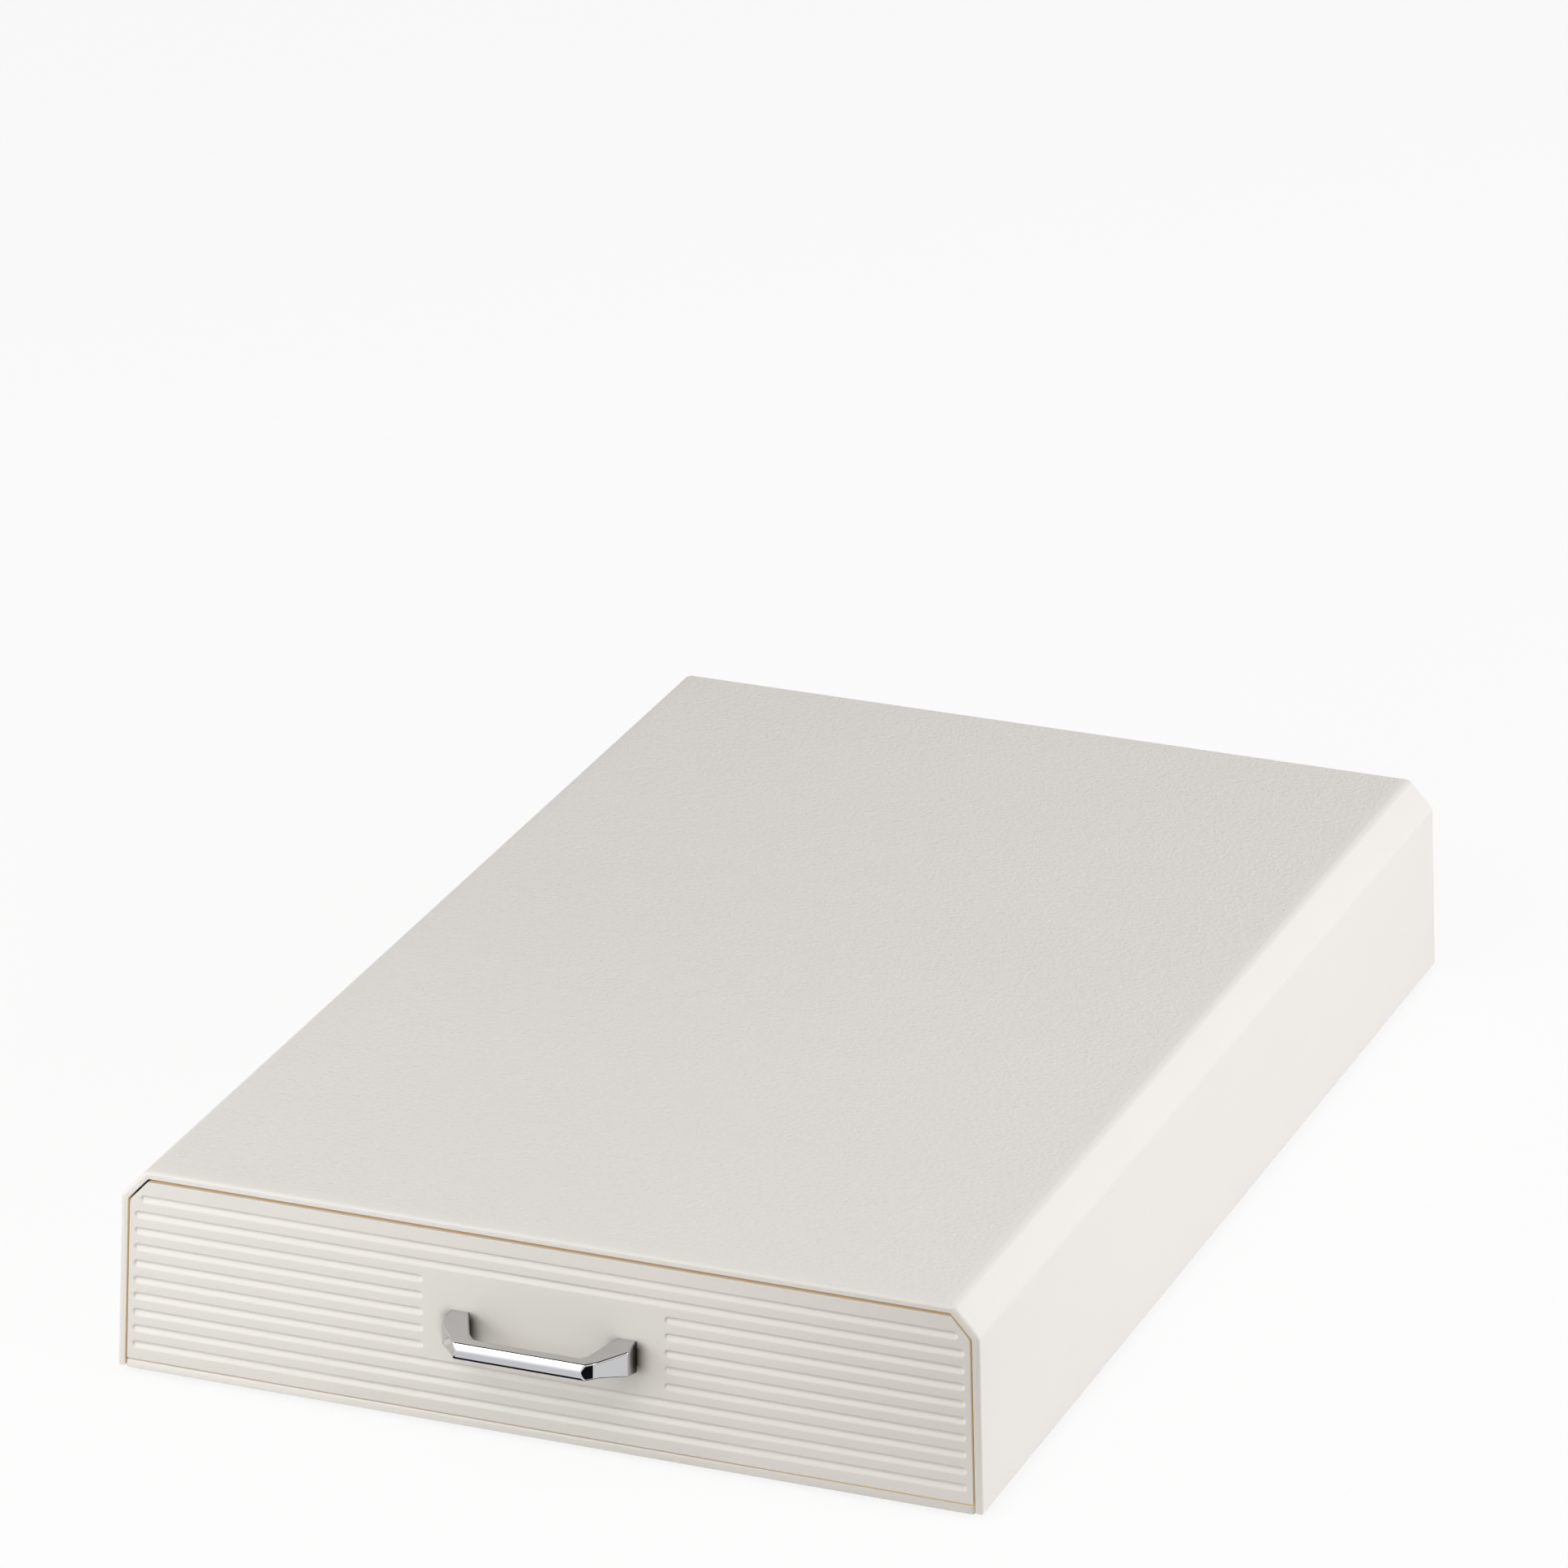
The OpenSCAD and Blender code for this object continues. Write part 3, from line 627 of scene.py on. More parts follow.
def housing_skin():
    """The housing's walls and top: an open box with its long bevels and rounded edges."""
    bm = bmesh.new()
    glow = bm.verts.layers.float.new("glow")
    outside = section(0.0, 0.0)
    within = section(WALL, TOP_T)
    front = [bm.verts.new((x, FRONT_Y, z)) for x, z in outside]
    back = [bm.verts.new((x, back_y(z), z)) for x, z in outside]
    inner_rings = []
    for depth, share in GLOW.items():
        inner_rings.append([bm.verts.new((x, FRONT_Y + depth, z)) for x, z in within])
        for vert in inner_rings[-1]:
            vert[glow] = share
    inner_rings.append([bm.verts.new((x, back_y(z, WALL), z)) for x, z in within])
    inner_front, inner_back = inner_rings[0], inner_rings[-1]
    radii = []
    for i, rim in enumerate(RIM_R):
        bm.faces.new((front[i], front[i + 1], back[i + 1], back[i]))
        for a, b in zip(inner_rings, inner_rings[1:]):
            bm.faces.new((a[i], b[i], b[i + 1], a[i + 1]))
        bm.faces.new((front[i], inner_front[i], inner_front[i + 1], front[i + 1]))
        radii += [(front[i], front[i + 1], rim),
                  (inner_front[i], inner_front[i + 1], RIM_INNER_R),
                  (back[i], back[i + 1], BACK_R),
                  (inner_back[i], inner_back[i + 1], BACK_R)]
    for i, (outer, inner) in enumerate(zip(LONG_R, LONG_INNER_R)):
        radii.append((front[i], back[i], outer))
        radii += [(a[i], b[i], inner) for a, b in zip(inner_rings, inner_rings[1:])]
    bm.faces.new(back)
    bm.faces.new(inner_back)
    for i in (0, -1):
        bm.faces.new([front[i], back[i]] + [ring[i] for ring in reversed(inner_rings)])
        radii.append((front[i], inner_front[i], RIM_INNER_R))
    bm.faces.new((back[0], back[-1], inner_back[-1], inner_back[0]))
    radii += [(back[0], back[-1], LOWER_R), (inner_back[0], inner_back[-1], LOWER_R)]
    weigh_edges(bm, radii)
    piece = piece_from(bm, "housing_skin", "housing_shell", white_housing)
    round_edges(piece, WIDEST_EDGE, segments=6)


RIB_H = 3 * MM
RIB_T = 1.6 * MM
RIB_START = 12 * MM
RIB_R = 0.25 * MM
CROSS_RIBS = 3


def lane_xs():
    """X of each lane divider's middle, from the left."""
    boxes = [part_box(f"lane_divider_{i}") for i in range(1, LANES)]
    return [(low.x + high.x) / 2 for low, high in boxes]


def housing_ribs():
    """Stiffening ribs under the top: one over each divider and three across."""
    bm = bmesh.new()
    low = TOP_Z - TOP_T - RIB_H
    high = TOP_Z - TOP_T / 2
    for x in lane_xs():
        block(bm, (x - RIB_T / 2, FRONT_Y + RIB_START, low),
              (x + RIB_T / 2, back_y(TOP_Z, WALL / 2), high), RIB_R)
    for i in range(1, CROSS_RIBS + 1):
        y = FRONT_Y + (BACK_Y - FRONT_Y) * i / (CROSS_RIBS + 1)
        half_low = bevel_x(low, WALL / 2)
        half_high = bevel_x(high, WALL / 2)
        outline = [(-half_low, low), (-half_high, high), (half_high, high), (half_low, low)]
        loft(bm, [[(x, y - RIB_T / 2, z) for x, z in outline],
                  [(x, y + RIB_T / 2, z) for x, z in outline]])
    piece_from(bm, "housing_ribs", "housing_shell", white_base)


POST_R = 3.6 * MM
POST_MIDDLE = 30 * MM
BORE_R = 1.45 * MM
BORE_TOP = 9.8 * MM
POST_STEPS = 32


def post_ring(place, radius, z):
    """A post's ring of points at height z, kept within the middle of the walls."""
    limit_x = min(side_x(z, WALL / 2), bevel_x(z, WALL / 2))
    limit_y = back_y(z, WALL / 2)
    last = 360 * (1 - 1 / POST_STEPS)
    return [(max(-limit_x, min(limit_x, x)), min(limit_y, y), z)
            for x, y in arc(place, radius, 0, last, POST_STEPS - 1)]


def housing_posts():
    """Screw posts that stand from the top down to the base plate, each with its bore."""
    bm = bmesh.new()
    foot = plate_high.z
    heights = (foot, BORE_TOP, POST_MIDDLE, corner_z(WALL / 2), TOP_Z - TOP_T / 2)
    for place in post_places():
        loft(bm, [post_ring(place, BORE_R, BORE_TOP), post_ring(place, BORE_R, foot)]
             + [post_ring(place, POST_R, z) for z in heights])
    piece_from(bm, "housing_posts", "housing_shell", white_base)


def post_places():
    """(x, y) of each post, read from the screws that go up into them."""
    bm = skin_of("base_screws", merged=False)
    places = []
    left = set(bm.verts)
    while left:
        island, newest = set(), {left.pop()}
        while newest:
            island |= newest
            newest = {e.other_vert(v) for v in newest for e in v.link_edges} - island
        left -= island
        xs, ys = [sorted(v.co[axis] for v in island) for axis in (0, 1)]
        places.append(((xs[0] + xs[-1]) / 2, (ys[0] + ys[-1]) / 2))
    bm.free()
    return sorted(places)


# ---- drawer front

FRONT_INSET = WALL + FRONT_GAP
SHOULDER_SOFTNESS = 1.2 * MM
TOP_CORNER_R = 1 * MM
FOOT_CORNER_R = 0.4 * MM
FACE_R = 0.14 * MM
FLANGE_R = 0.3 * MM
HOLLOW_R = 0.8 * MM
HOLLOW_MID = 0.25 * MM

# Depths between which the edges take the painted warm glow, and how much of it the top edge and the
# others take.
GLOW_START = 0.7 * MM
GLOW_END = 1.8 * MM
GLOW_GONE = 3.6 * MM
TOP_GLOW = 0.5
SIDE_GLOW = 0.55
TOP_BAND = 0.5 * MM

# A groove's deepest line is lifted off its middle, and runs on further to the left.
GROOVE_SLOPE = 1.3 * MM
GROOVE_DIP = 0.55 * MM
GROOVE_LIFT = 0.36 * MM
END_LIFT = 0.4 * MM
END_STEPS = 12
GROOVE_RINGS = 12
PLAIN_X = PLAIN_W / 2 - 1 * MM
PLAIN_ROWS = range(PLAIN_FIRST, PLAIN_LAST + 1)

SCREW_HEAD_R = 2.8 * MM
BOSS_FLOOR = 0.4 * MM
BOSS_SUNK = 0.3 * MM


def groove_depth(off):
    """Depth of a groove at the distance off from its middle line: a soft round wave."""
    return GROOVE_DIP * (1 + math.cos(math.pi * off / GROOVE_SLOPE)) / 2


def face_half(z):
    """Half width of the drawer front at height z, its shoulder slightly rounded."""
    side, slope = side_x(z, FRONT_INSET), bevel_x(z, FRONT_INSET)
    mixed = max(SHOULDER_SOFTNESS - abs(side - slope), 0.0) / SHOULDER_SOFTNESS
    return min(side, slope) - mixed * mixed * SHOULDER_SOFTNESS / 8


def groove_z(i):
    return front_high.z - GROOVE_TOP - i * GROOVE_PITCH


def boundary_z(i):
    """Height of the line between groove i - 1 and groove i."""
    return groove_z(i) + GROOVE_PITCH / 2


def front_outline():
    """The drawer front's outline, clockwise from its top edge's right end."""
    top = (bevel_x(front_high.z, FRONT_INSET), front_high.z)
    low = (side_x(front_low.z, FRONT_INSET), front_low.z)
    shoulder = rounded(top, (0, top[1]), (face_half(boundary_z(0)), boundary_z(0)),
                       TOP_CORNER_R, steps=5)
    heights = [boundary_z(0) - i * GROOVE_PITCH / END_STEPS for i in range(GROOVES * END_STEPS + 1)]
    side = [(face_half(z), z) for z in heights]
    foot = rounded(low, side[-1], (0, low[1]), FOOT_CORNER_R, steps=4)
    right = shoulder + side + foot
    return right + [(-x, z) for x, z in reversed(right)], len(shoulder)


def cut_groove(bm, ends, middle_line, x0, x1):
    """Lays one groove between its field's right and left end vertices.

    ends is (right end from above down, left end from below up), and middle_line is
    (vertices along the lower side from right to left, those along the upper side back).
    """
    right, left = ends
    lower, upper = middle_line
    middle = (right[0].co.z + right[-1].co.z) / 2
    end = GROOVE_W / 2
    rings = []
    for ring in range(GROOVE_RINGS):
        deep = ring / GROOVE_RINGS
        off = GROOVE_SLOPE * (1 - deep)
        z = middle + GROOVE_LIFT * deep
        points = (arc((x1 - end, z), off, 90, -90, END_STEPS)
                  + arc((x0 - END_LIFT * deep + end, z), off, 270, 90, END_STEPS))
        rings.append([(x, FRONT_Y + groove_depth(off), height) for x, height in points])
    made = loft(bm, rings, start_cap=False)
    outer = made[0]
    count = END_STEPS + 1
    for field, ring in ((right, outer[:count]), (left, outer[count:])):
        for i in range(END_STEPS):
            bm.faces.new((field[i], ring[i], ring[i + 1], field[i + 1]))
    bm.faces.new([right[-1], outer[count - 1], outer[count], left[0]] + lower[::-1])
    bm.faces.new([left[-1], outer[-1], outer[0], right[0]] + upper[::-1])


def front_body(bm):
    """The drawer front's edges and hollow back; returns the vertices round its face."""
    glow = bm.verts.layers.float.new("glow")
    outline, shoulder = front_outline()
    depth = front_high.y - front_low.y
    roll = [(FACE_R - u, FACE_R + v) for u, v in arc((0, 0), FACE_R, 270, 360, steps=5)]
    profile = roll + [(0.0, GLOW_START), (0.0, GLOW_END), (0.0, GLOW_GONE),
                      (0.0, depth - FLANGE_R), (FLANGE_R, depth), (FLANGE_T - FLANGE_R, depth),
                      (FLANGE_T, depth - FLANGE_R), (FLANGE_T, PLATE_T + HOLLOW_R),
                      (FLANGE_T + HOLLOW_MID, PLATE_T + HOLLOW_MID),
                      (FLANGE_T + HOLLOW_R, PLATE_T)]
    made = loft(bm, [[(x, FRONT_Y + deep, z) for x, z in inset_outline(outline, inset)]
                     for inset, deep in profile], start_cap=False)
    for ring in made[len(roll):len(roll) + 2]:
        for vert in ring:
            vert[glow] = TOP_GLOW if vert.co.z > front_high.z - TOP_BAND else SIDE_GLOW
    return made[0], shoulder


def plain_columns(bm):
    """Vertices down the plain field's sides, listed for each (groove, side)."""
    plain = {}
    for i in PLAIN_ROWS:
        for side in (1, -1):
            column = [plain[i - 1, side][-1]] if i > PLAIN_FIRST else []
            for k in range(len(column), END_STEPS + 1):
                z = boundary_z(i) - k * GROOVE_PITCH / END_STEPS
                column.append(bm.verts.new((side * PLAIN_X, FRONT_Y, z)))
            plain[i, side] = column
    return plain


def drawer_front():
    """The drawer's front: grooved face, plain field, rounded edges and hollow back."""
    bm = bmesh.new()
    face, shoulder = front_body(bm)
    count = len(face)
    plain = plain_columns(bm)
    top_marks = [plain[PLAIN_FIRST, 1][0], plain[PLAIN_FIRST, -1][0]]
    low_marks = [plain[PLAIN_LAST, 1][-1], plain[PLAIN_LAST, -1][-1]]
    for i in range(GROOVES):
        first = shoulder + i * END_STEPS
        last = first + END_STEPS
        right_end = face[first:last + 1]
        left_end = face[count - 1 - last:count - first]
        z = groove_z(i) + GROOVE_W / 2
        reach = min(side_x(z, FRONT_INSET), bevel_x(z, FRONT_INSET)) - GROOVE_MARGIN
        if i in PLAIN_ROWS:
            cut_groove(bm, (right_end, plain[i, 1][::-1]), ([], []), PLAIN_W / 2, reach)
            cut_groove(bm, (plain[i, -1], left_end), ([], []), -reach, -PLAIN_W / 2)
        else:
            lower = top_marks if i == PLAIN_FIRST - 1 else []
            upper = low_marks[::-1] if i == PLAIN_LAST + 1 else []
            cut_groove(bm, (right_end, left_end), (lower, upper), -reach, reach)

    right, left = [[v for i in PLAIN_ROWS for v in plain[i, side][:-1]] for side in (1, -1)]
    bm.faces.new(right + low_marks + left[::-1])
    bm.faces.new(face[count - shoulder - 1:] + face[:shoulder + 1])
    low_end = shoulder + GROOVES * END_STEPS
    bm.faces.new(face[low_end:count - low_end])

    depth = front_high.y - front_low.y
    profile = [(BORE_R, PLATE_T + BOSS_FLOOR), (BORE_R, depth), (POST_R, depth),
               (POST_R, PLATE_T - BOSS_SUNK)]
    for x, z in boss_places():
        lathe(bm, x, z, [(radius, FRONT_Y + deep) for radius, deep in profile], POST_STEPS)
    piece = piece_from(bm, "grooved_front", "drawer_front", white_front)
    weighted_normals(piece)


def boss_places():
    """(x, z) of each screw boss behind the drawer front, read from the screws."""
    low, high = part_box("front_screws")
    half = (high.x - low.x) / 2 - SCREW_HEAD_R
    heights = (low.z + SCREW_HEAD_R, high.z - SCREW_HEAD_R)
    return [(x, z) for x in (-half, 0.0, half) for z in heights]


# ---- handle

HANDLE_SIDE = 5.5 * MM
BAR_W = 37.8 * MM
BAR_BEVEL = {1: 2.3 * MM, -1: 1.1 * MM}
BAR_H = 4.7 * MM
BAR_RISE = 0.5 * MM
BAR_D = 3.8 * MM
BAR_BULGE = 0.9 * MM
FINGER_W = 30.4 * MM
BAR_ROWS = 14
BAR_EDGE_R = (0.55 * MM, 0.8 * MM)
BAR_END_R = 1 * MM
LEG_EDGE_R = 0.6 * MM
ROOT_EDGE_R = 0.15 * MM
CROOK_R = 6 * MM
RIDGE_R = 1.6 * MM

# Rounding of the leg walls' upper and lower edges, then of the upright edges between them.
LEG_WALLS = (("heel", "toe", ROOT_EDGE_R), ("toe", "ridge", LEG_EDGE_R),
             ("ridge", "knee", LEG_EDGE_R), ("knee", "wrist", LEG_EDGE_R),
             ("crook", "heel", LEG_EDGE_R))
UPRIGHT_R = {"ridge": RIDGE_R, "wrist": LEG_EDGE_R, "crook": CROOK_R, "toe": ROOT_EDGE_R,
             "heel": ROOT_EDGE_R}


def handle_bow():
    """Cast bow: two feet, two slanted legs and a bar with a bulged front."""
    bm = bmesh.new()
    # The shade layer marks the feet's corners on the drawer front, where the chrome's colour gets
    # painted shade.
    shade = bm.verts.layers.float.new("shade")
    reach = FRONT_Y - handle_low.y
    middle = (handle_low.z + handle_high.z) / 2
    foot_half = (handle_high.z - handle_low.z) / 2
    high, low = BAR_RISE + BAR_H / 2, BAR_RISE - BAR_H / 2
    bar_back = reach - BAR_D
    bulge_r = (BAR_H ** 2 / 4 + BAR_BULGE ** 2) / (2 * BAR_BULGE)

    def height(out, foot, end):
        return foot + (end - foot) * min(out / bar_back, 1.0)

    def vert(side, x, out, z):
        return bm.verts.new((side * x, FRONT_Y - out, middle + z))

    def plan(side):
        leg_end = reach - BAR_BEVEL[side]
        run = (bar_back - HANDLE_SIDE) / (leg_end - HANDLE_SIDE)
        knee = handle_high.x + (BAR_W / 2 - handle_high.x) * run
        return [("heel", handle_high.x - HANDLE_FOOT_W, 0.0), ("toe", handle_high.x, 0.0),
                ("ridge", handle_high.x, HANDLE_SIDE), ("knee", knee, bar_back),
                ("wrist", BAR_W / 2, leg_end), ("crook", FINGER_W / 2, bar_back)]

    spots = {}
    noses = {}
    for side in (1, -1):
        for name, x, out in plan(side):
            spots[side, name] = (vert(side, x, out, height(out, foot_half, high)),
                                 vert(side, x, out, height(out, -foot_half, low)))
            for corner in spots[side, name]:
                corner[shade] = 1.0 if name in ("heel", "toe") else 0.0
        noses[side] = []
        for k in range(BAR_ROWS + 1):
            z = high - BAR_H * k / BAR_ROWS
            sag = bulge_r - math.sqrt(bulge_r ** 2 - (z - BAR_RISE) ** 2)
            noses[side].append(vert(side, BAR_W / 2 - BAR_BEVEL[side] + sag, reach - sag, z))
    radii = []
    for side in (1, -1):
        at = {name: spots[side, name] for name, x, out in plan(side)}
        nose = noses[side]
        for a, b, radius in LEG_WALLS:
            bm.faces.new((at[a][0], at[b][0], at[b][1], at[a][1]))
            radii += [(at[a][k], at[b][k], radius) for k in (0, 1)]
        bm.faces.new([at["wrist"][1], at["wrist"][0]] + nose)
        for k, end in enumerate((nose[0], nose[-1])):
            bm.faces.new([at[n][k] for n in ("heel", "toe", "ridge", "knee", "crook")])
            radii.append((at["wrist"][k], end, LEG_EDGE_R))
        radii += [(*at[name], radius) for name, radius in UPRIGHT_R.items()]
        radii += [(a, b, BAR_END_R) for a, b in zip(nose, nose[1:])]
    for k, row in enumerate((0, -1)):
        bm.faces.new([spots[1, n][k] for n in ("crook", "knee", "wrist")] + [noses[1][row]]
                     + [noses[-1][row]] + [spots[-1, n][k] for n in ("wrist", "knee", "crook")])
        radii += [(noses[1][row], noses[-1][row], BAR_EDGE_R[k]),
                  (spots[1, "crook"][k], spots[-1, "crook"][k], LEG_EDGE_R)]
    bm.faces.new((spots[1, "crook"][0], spots[-1, "crook"][0],
                  spots[-1, "crook"][1], spots[1, "crook"][1]))
    for k in range(BAR_ROWS):
        bm.faces.new((noses[1][k], noses[1][k + 1], noses[-1][k + 1], noses[-1][k]))
    weigh_edges(bm, radii)
    piece = piece_from(bm, "handle_bow", "handle", chrome)
    round_edges(piece, WIDEST_EDGE, segments=4)


# ---- tray and dividers

TRAY_FOOT_R = 1 * MM
TRAY_FILLET = 1.5 * MM

# How deep an added block reaches into the wall it stands on.
BLOCK_SUNK = 0.5 * MM
GUIDE_SUNK = 0.4 * MM

TONGUE_LIFT = 7.7 * MM
TONGUE_H = 3 * MM
TONGUE_R = 0.4 * MM
LUG_LIFT = 5.6 * MM
LUG_D = 6 * MM
PAD_T = 0.4 * MM
PAD_LIFT = 1 * MM
PAD_R = 0.1 * MM
GUIDE_R = 0.35 * MM
DIVIDER_T = 1.6 * MM
EASE = 0.5 * MM


def side_block(bm, side, xs, ys, zs, radius):
    """A rounded block on the tray's right (side 1) or left (side -1) wall."""
    a, b = sorted(side * x for x in xs)
    block(bm, (a, ys[0], zs[0]), (b, ys[1], zs[1]), radius)


def tray_box():
    """The tray: thin walls with a rounded rim, soft inner corners, tongues and lugs."""
    bm = bmesh.new()
    half = tray_high.x - TONGUE_W
    y0, y1 = tray_low.y, tray_high.y
    corners = [(half, y0), (-half, y0), (-half, y1), (half, y1)]
    outline = []
    for i, corner in enumerate(corners):
        outline += rounded(corner, corners[i - 1], corners[(i + 1) % 4], TRAY_R, steps=8)
    z0, z1 = tray_low.z, tray_high.z
    floor = z0 + TRAY_FLOOR
    rim = TRAY_WALL / 2
    profile = arc((TRAY_FOOT_R, z0 + TRAY_FOOT_R), TRAY_FOOT_R, 270, 180, steps=4)
    profile += arc((rim, z1 - rim), rim, 180, 0, steps=10)
    profile += arc((TRAY_WALL + TRAY_FILLET, floor + TRAY_FILLET), TRAY_FILLET, 180, 270, steps=5)
    loft(bm, [[(x, y, z) for x, y in inset_outline(outline, inset)] for inset, z in profile])

    tongue_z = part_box("runner_right")[0].z + TONGUE_LIFT
    lug_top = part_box("runner_right")[1].z
    lug_ys = (y1 - LUG_D, y1)
    for side in (1, -1):
        out = (half - BLOCK_SUNK, tray_high.x)
        side_block(bm, side, out, (y0 + TRAY_R, y1), (tongue_z, tongue_z + TONGUE_H), TONGUE_R)
        side_block(bm, side, out, lug_ys, (tongue_z + LUG_LIFT, lug_top), TONGUE_R)
        side_block(bm, side, (half - BLOCK_SUNK, half + PAD_T), lug_ys,
                   (tongue_z + PAD_LIFT, lug_top - PAD_LIFT), PAD_R)

    guide_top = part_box("lane_divider_1")[1].z - DIVIDER_R
    for x in lane_xs():
        for side in (-1, 1):
            middle = x + side * (DIVIDER_T / 2 + DIVIDER_PLAY + GUIDE_T / 2)
            for a, b in ((y0 + TRAY_WALL - GUIDE_SUNK, y0 + TRAY_WALL + GUIDE_D),
                         (y1 - TRAY_WALL - GUIDE_D, y1 - TRAY_WALL + GUIDE_SUNK)):
                block(bm, (middle - GUIDE_T / 2, a, floor - GUIDE_SUNK),
                      (middle + GUIDE_T / 2, b, guide_top), GUIDE_R)
    piece = piece_from(bm, "tray_box", "drawer_tray", tray_plastic)
    weighted_normals(piece)


def lane_divider(i):
    """A thin upright plate with rounded upper corners and eased edges."""
    node = f"lane_divider_{i}"
    low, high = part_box(node)
    outline = [(low.y, low.z)]
    outline += arc((low.y + DIVIDER_R, high.z - DIVIDER_R), DIVIDER_R, 180, 90, steps=10)
    outline += arc((high.y - DIVIDER_R, high.z - DIVIDER_R), DIVIDER_R, 90, 0, steps=10)
    outline += [(high.y, low.z)]
    profile = [(EASE - u, low.x + v) for u, v in arc((0, EASE), EASE, 270, 360, steps=3)]
    profile += [(EASE - u, high.x + v) for u, v in arc((0, -EASE), EASE, 0, 90, steps=3)]
    bm = bmesh.new()
    loft(bm, [[(x, y, z) for y, z in inset_outline(outline, inset)] for inset, x in profile])
    piece = piece_from(bm, f"divider_plate_{i}", node, divider_plastic)
    weighted_normals(piece)


# ---- pieces that keep their solids

def softened(node, name, material, radius, sharper_than):
    """A CAD node's skin with its sharp edges eased by radius."""
    piece = piece_from(skin_of(node), name, node, material)
    round_edges(piece, radius, segments=3, sharper_than=sharper_than)


LIP_R = 0.7 * MM
LIP_D = 1 * MM
SHEET_R = 0.3 * MM
TOP_PLAY = 0.01 * MM
SHARP_TURN = math.radians(50)
SOFT_TURN = math.radians(30)


def base_sheet():
    """The base plate, its upper front edge well rounded where it shows under the drawer."""
    bm = skin_of("base_plate")
    radii = []
    for edge in bm.edges:
        turn = edge.calc_face_angle(0.0)
        if turn < SHARP_TURN:
            edge.smooth = turn < SOFT_TURN
            continue
        a, b = edge.verts
        middle = (a.co + b.co) / 2
        lip = middle.z > plate_high.z - TOP_PLAY and middle.y < FRONT_Y + LIP_D
        radii.append((a, b, LIP_R if lip else SHEET_R))
    weigh_edges(bm, radii)
    piece = piece_from(bm, "base_sheet", "base_plate", white_base)
    round_edges(piece, WIDEST_EDGE, segments=4)


def dress(node, material):
    """Gives a CAD node that stays visible its material."""
    mesh = frame["nodes"][node].data
    mesh.materials.clear()
    mesh.materials.append(material)


housing_skin()
housing_ribs()
housing_posts()
drawer_front()
handle_bow()
tray_box()
for divider in range(1, LANES):
    lane_divider(divider)
base_sheet()
for side in ("left", "right"):
    softened(f"runner_{side}", f"channel_runner_{side}", nylon,
             radius=0.3 * MM, sharper_than=50)
    dress(f"stop_buffer_{side}", black_rubber)
    dress(f"rear_buffer_{side}", black_rubber)
    for end in ("front", "rear"):
        softened(f"foot_{end}_{side}", f"rubber_foot_{end}_{side}", black_rubber,
                 radius=0.25 * MM, sharper_than=30)
for node in ("base_screws", "runner_screws", "front_screws", "handle_screws", "handle_washers"):
    dress(node, zinc)


# ---- studio and camera

PURE_WHITE = (1, 1, 1, 1)


def only_for_looks(shader):
    """1 for rays that show the background: camera rays, and mirror and glass rays from them."""
    path = shader.add("ShaderNodeLightPath")
    seen = shader.math("MAXIMUM", path.outputs["Is Camera Ray"], path.outputs["Is Glossy Ray"])
    seen = shader.math("MAXIMUM", seen, path.outputs["Is Transmission Ray"])
    direct = shader.math("LESS_THAN", path.outputs["Diffuse Depth"], 0.5)
    return shader.product(seen, direct)


ROOM_LIGHT = 0.3
ROOM_COLOUR = (1.0, 0.995, 0.985, 1)
CEILING_LIGHT = 0.58
CEILING_FOCUS = 4


def studio_world():
    """White surroundings where they are seen; as light, brighter from overhead."""
    world = bpy.data.worlds.new("White studio")
    world.use_nodes = True
    world.node_tree.nodes.clear()
    shader = Shader(world.node_tree)
    seen = shader.add("ShaderNodeBackground", {"Color": PURE_WHITE, "Strength": 1.0})
    upwards = shader.math("MAXIMUM", shader.axes(shader.place("Generated"))[2], 0.0)
    ceiling = shader.product(shader.math("POWER", upwards, CEILING_FOCUS), CEILING_LIGHT)
    lights = shader.add("ShaderNodeBackground",
                        {"Color": ROOM_COLOUR, "Strength": shader.math("ADD", ceiling, ROOM_LIGHT)})
    shader.finish("ShaderNodeMixShader",
                  {0: only_for_looks(shader), 1: lights.outputs[0], 2: seen.outputs[0]},
                  "ShaderNodeOutputWorld")
    bpy.context.scene.world = world


FLOOR_SIZE = 30
FLOOR_GLOW = 0.87
FLOOR_COLOUR = (0.95, 0.95, 0.95, 1)

# The light that the floor throws back gets darker towards the front right.
BOUNCE = (0.66, 0.65, 0.63, 1)
DARK_BOUNCE = (0.24, 0.19, 0.12, 1)
DARK_X = (0.0, 0.15)
DARK_Y = (FRONT_Y, FRONT_Y - 0.1)


def studio_floor():
    """A wide pale floor that keeps the object's shadow."""
    bm = bmesh.new()
    bmesh.ops.create_grid(bm, x_segments=1, y_segments=1, size=FLOOR_SIZE)
    mesh = mesh_from(bm, "floor")
    floor = placed("floor", mesh)
    material, shader = new_material("Pale floor")
    seen = only_for_looks(shader)
    x, y = shader.axes(shader.place())[:2]
    dark = shader.product(shader.remap(x, *DARK_X), shader.remap(y, *DARK_Y))
    tint = shader.blend(seen, shader.blend(dark, BOUNCE, DARK_BOUNCE), FLOOR_COLOUR)
    paper = shader.add("ShaderNodeBsdfDiffuse", {"Color": tint})
    glow = shader.add("ShaderNodeEmission", {"Color": PURE_WHITE, "Strength": 1.0})
    shader.finish("ShaderNodeMixShader", {0: shader.product(seen, FLOOR_GLOW),
                                          1: paper.outputs[0], 2: glow.outputs[0]})
    mesh.materials.append(material)


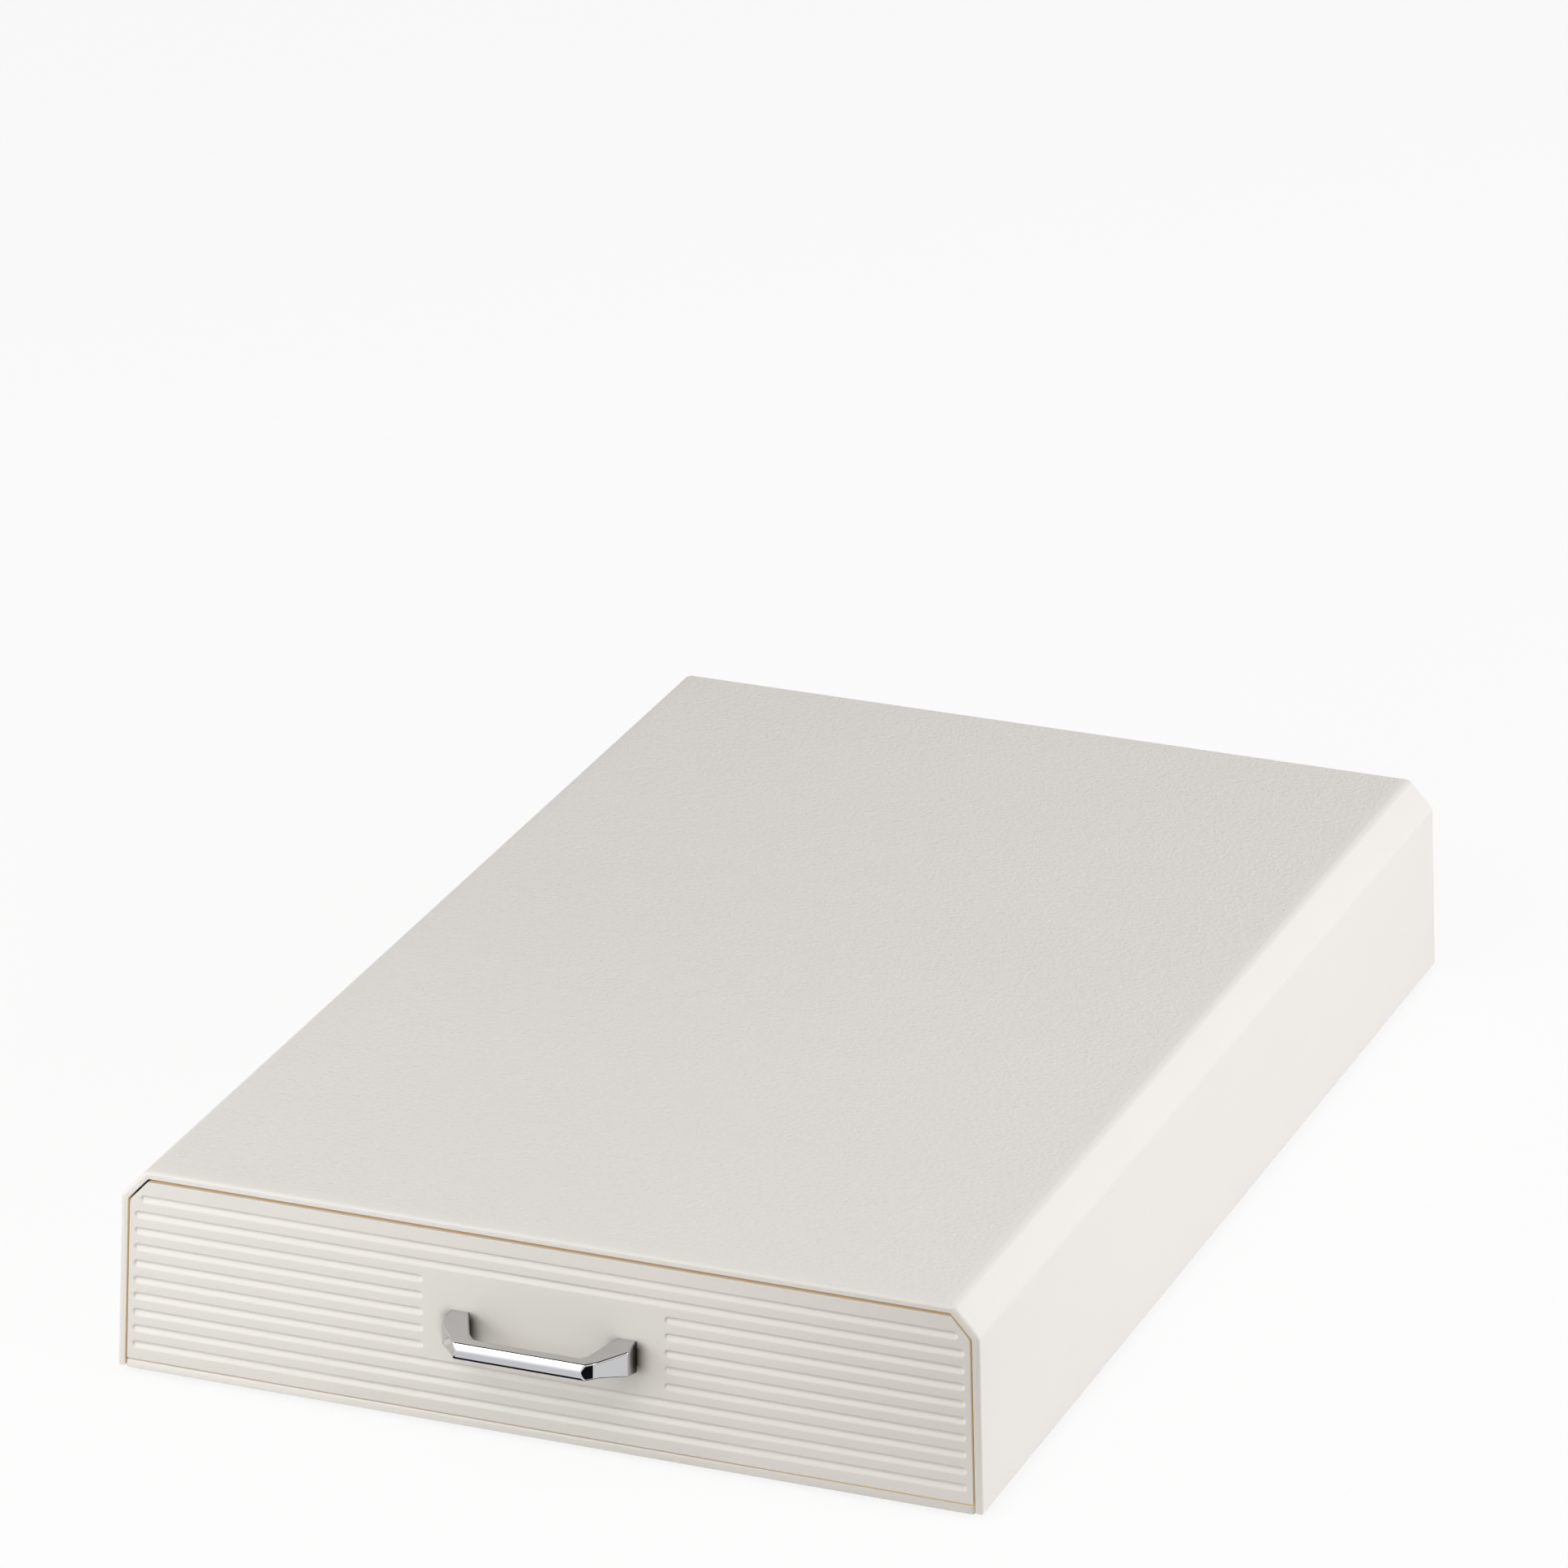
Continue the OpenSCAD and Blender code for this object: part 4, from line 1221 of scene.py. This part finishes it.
def softbox(name, place, aim, size, power, colour):
    """An area lamp at place that faces aim."""
    data = bpy.data.lights.new(name, "AREA")
    data.shape = "RECTANGLE"
    data.size, data.size_y = size
    data.energy = power
    data.color = colour
    lamp = placed(name, data)
    lamp.location = place
    lamp.rotation_euler = (Vector(aim) - Vector(place)).to_track_quat("-Z", "Y").to_euler()
    lamp.visible_camera = False


UNIT = (0, 0, 0.03)
UNIT_FRONT = (0, -0.1, 0.03)
DAYLIGHT = (0.985, 1, 1.035)
SOFT_DAYLIGHT = (0.985, 1, 1.02)
WARM_LIGHT = (1.01, 0.985, 0.93)


def studio_lights():
    softbox("key from the right", (1.2, -0.05, 0.45), UNIT, size=(0.9, 0.4), power=5.9,
            colour=DAYLIGHT)
    softbox("key from the back right", (1.05, 0.62, 0.3), UNIT, size=(1.5, 0.5), power=3.2,
            colour=DAYLIGHT)
    softbox("fill from the front left", (-0.6, -0.6, 0.25), UNIT_FRONT, size=(0.8, 0.4),
            power=2.6, colour=SOFT_DAYLIGHT)
    softbox("fill from the front", (-0.2, -1.0, 0.9), UNIT, size=(0.8, 0.5), power=2.95,
            colour=WARM_LIGHT)


def lit_card(name, colour, axis, stops):
    """A glowing card; stops lists (place along the axis, strength there)."""
    material, shader = new_material(name)
    place = shader.axes(shader.place())[axis]
    strength = stops[0][1]
    for (low, dim), (high, bright) in zip(stops, stops[1:]):
        step = shader.remap(place, low, high, 0.0, bright - dim)
        strength = shader.math("ADD", strength, step)
    shader.finish("ShaderNodeEmission", {"Color": colour, "Strength": strength})
    return material


def stand_card(name, corners, material):
    """A flat card that only the chrome's reflections show."""
    bm = bmesh.new()
    bm.faces.new([bm.verts.new(corner) for corner in corners])
    mesh = mesh_from(bm, name)
    mesh.materials.append(material)
    card = placed(name, mesh)
    for ray in ("camera", "diffuse", "transmission", "volume_scatter", "shadow"):
        setattr(card, f"visible_{ray}", False)


def level_card(name, xs, ys, z, material):
    """A level card between two corners."""
    (x0, x1), (y0, y1) = xs, ys
    stand_card(name, [(x0, y0, z), (x1, y0, z), (x1, y1, z), (x0, y1, z)], material)


CARD_LIFT = 0.2 * MM
OVERHEAD = 1.1
FELT_COLOUR = (0.01, 0.01, 0.012, 1)
PAPER_COLOUR = (0.99, 0.99, 1.02, 1)
PAPER_STOPS = [(-0.26, 0.96), (-0.4, 1.3), (-0.6, 1.47), (-1.1, 1.65)]
SOFTBOX_STOPS = [(0.0, 1.72), (0.6, 1.9)]


def chrome_cards():
    """Surroundings that give the chrome its black accents and its graded highlight."""
    felt, shader = new_material("Dark felt")
    shader.finish("ShaderNodeBsdfDiffuse", {"Color": FELT_COLOUR})
    level_card("card on the floor", (0.045, 0.2), (-0.35, -0.218), CARD_LIFT, felt)
    # The card under the handle is a painted shadow: a dark sheet that the chrome reflects where the
    # floor lies in shade.
    level_card("painted shadow under the handle", (-0.06, 0.045), (-0.208, -0.186), CARD_LIFT, felt)
    level_card("card overhead", (-0.9, 0.9), (-0.75, 0.5), OVERHEAD, felt)
    level_card("white card on the floor", (-0.8, 0.045), (-1.2, -0.212), CARD_LIFT,
               lit_card("Bright paper", PAPER_COLOUR, "Y", PAPER_STOPS))
    stand_card("graded softbox", [(-0.8, -0.85, 0.0), (0.02, -1.15, 0.0),
                                  (0.02, -1.15, 1.0), (-0.8, -0.85, 1.0)],
               lit_card("Graded softbox", PURE_WHITE, "Z", SOFTBOX_STOPS))


CAMERA_AT = (0.8027, -2.1521, 1.0257)
CAMERA_AZIMUTH = math.radians(20.59)
CAMERA_ELEVATION = math.radians(21.68)
CAMERA_ROLL = math.radians(0.56)
CAMERA_LENS = 212.8
SENSOR_WIDTH = 36
NEAREST = 0.01
FURTHEST = 100


def photo_camera():
    """The camera at the photograph's place and angle."""
    data = bpy.data.cameras.new("photo camera")
    data.lens = CAMERA_LENS
    data.sensor_width = SENSOR_WIDTH
    data.clip_start = NEAREST
    data.clip_end = FURTHEST
    camera = placed("photo camera", data)
    camera.matrix_world = (Matrix.Translation(CAMERA_AT)
                           @ Matrix.Rotation(CAMERA_AZIMUTH, 4, "Z")
                           @ Matrix.Rotation(math.pi / 2 - CAMERA_ELEVATION, 4, "X")
                           @ Matrix.Rotation(CAMERA_ROLL, 4, "Z"))
    bpy.context.scene.camera = camera


studio_world()
studio_floor()
studio_lights()
chrome_cards()
photo_camera()
bpy.context.scene.view_settings.view_transform = "Standard"
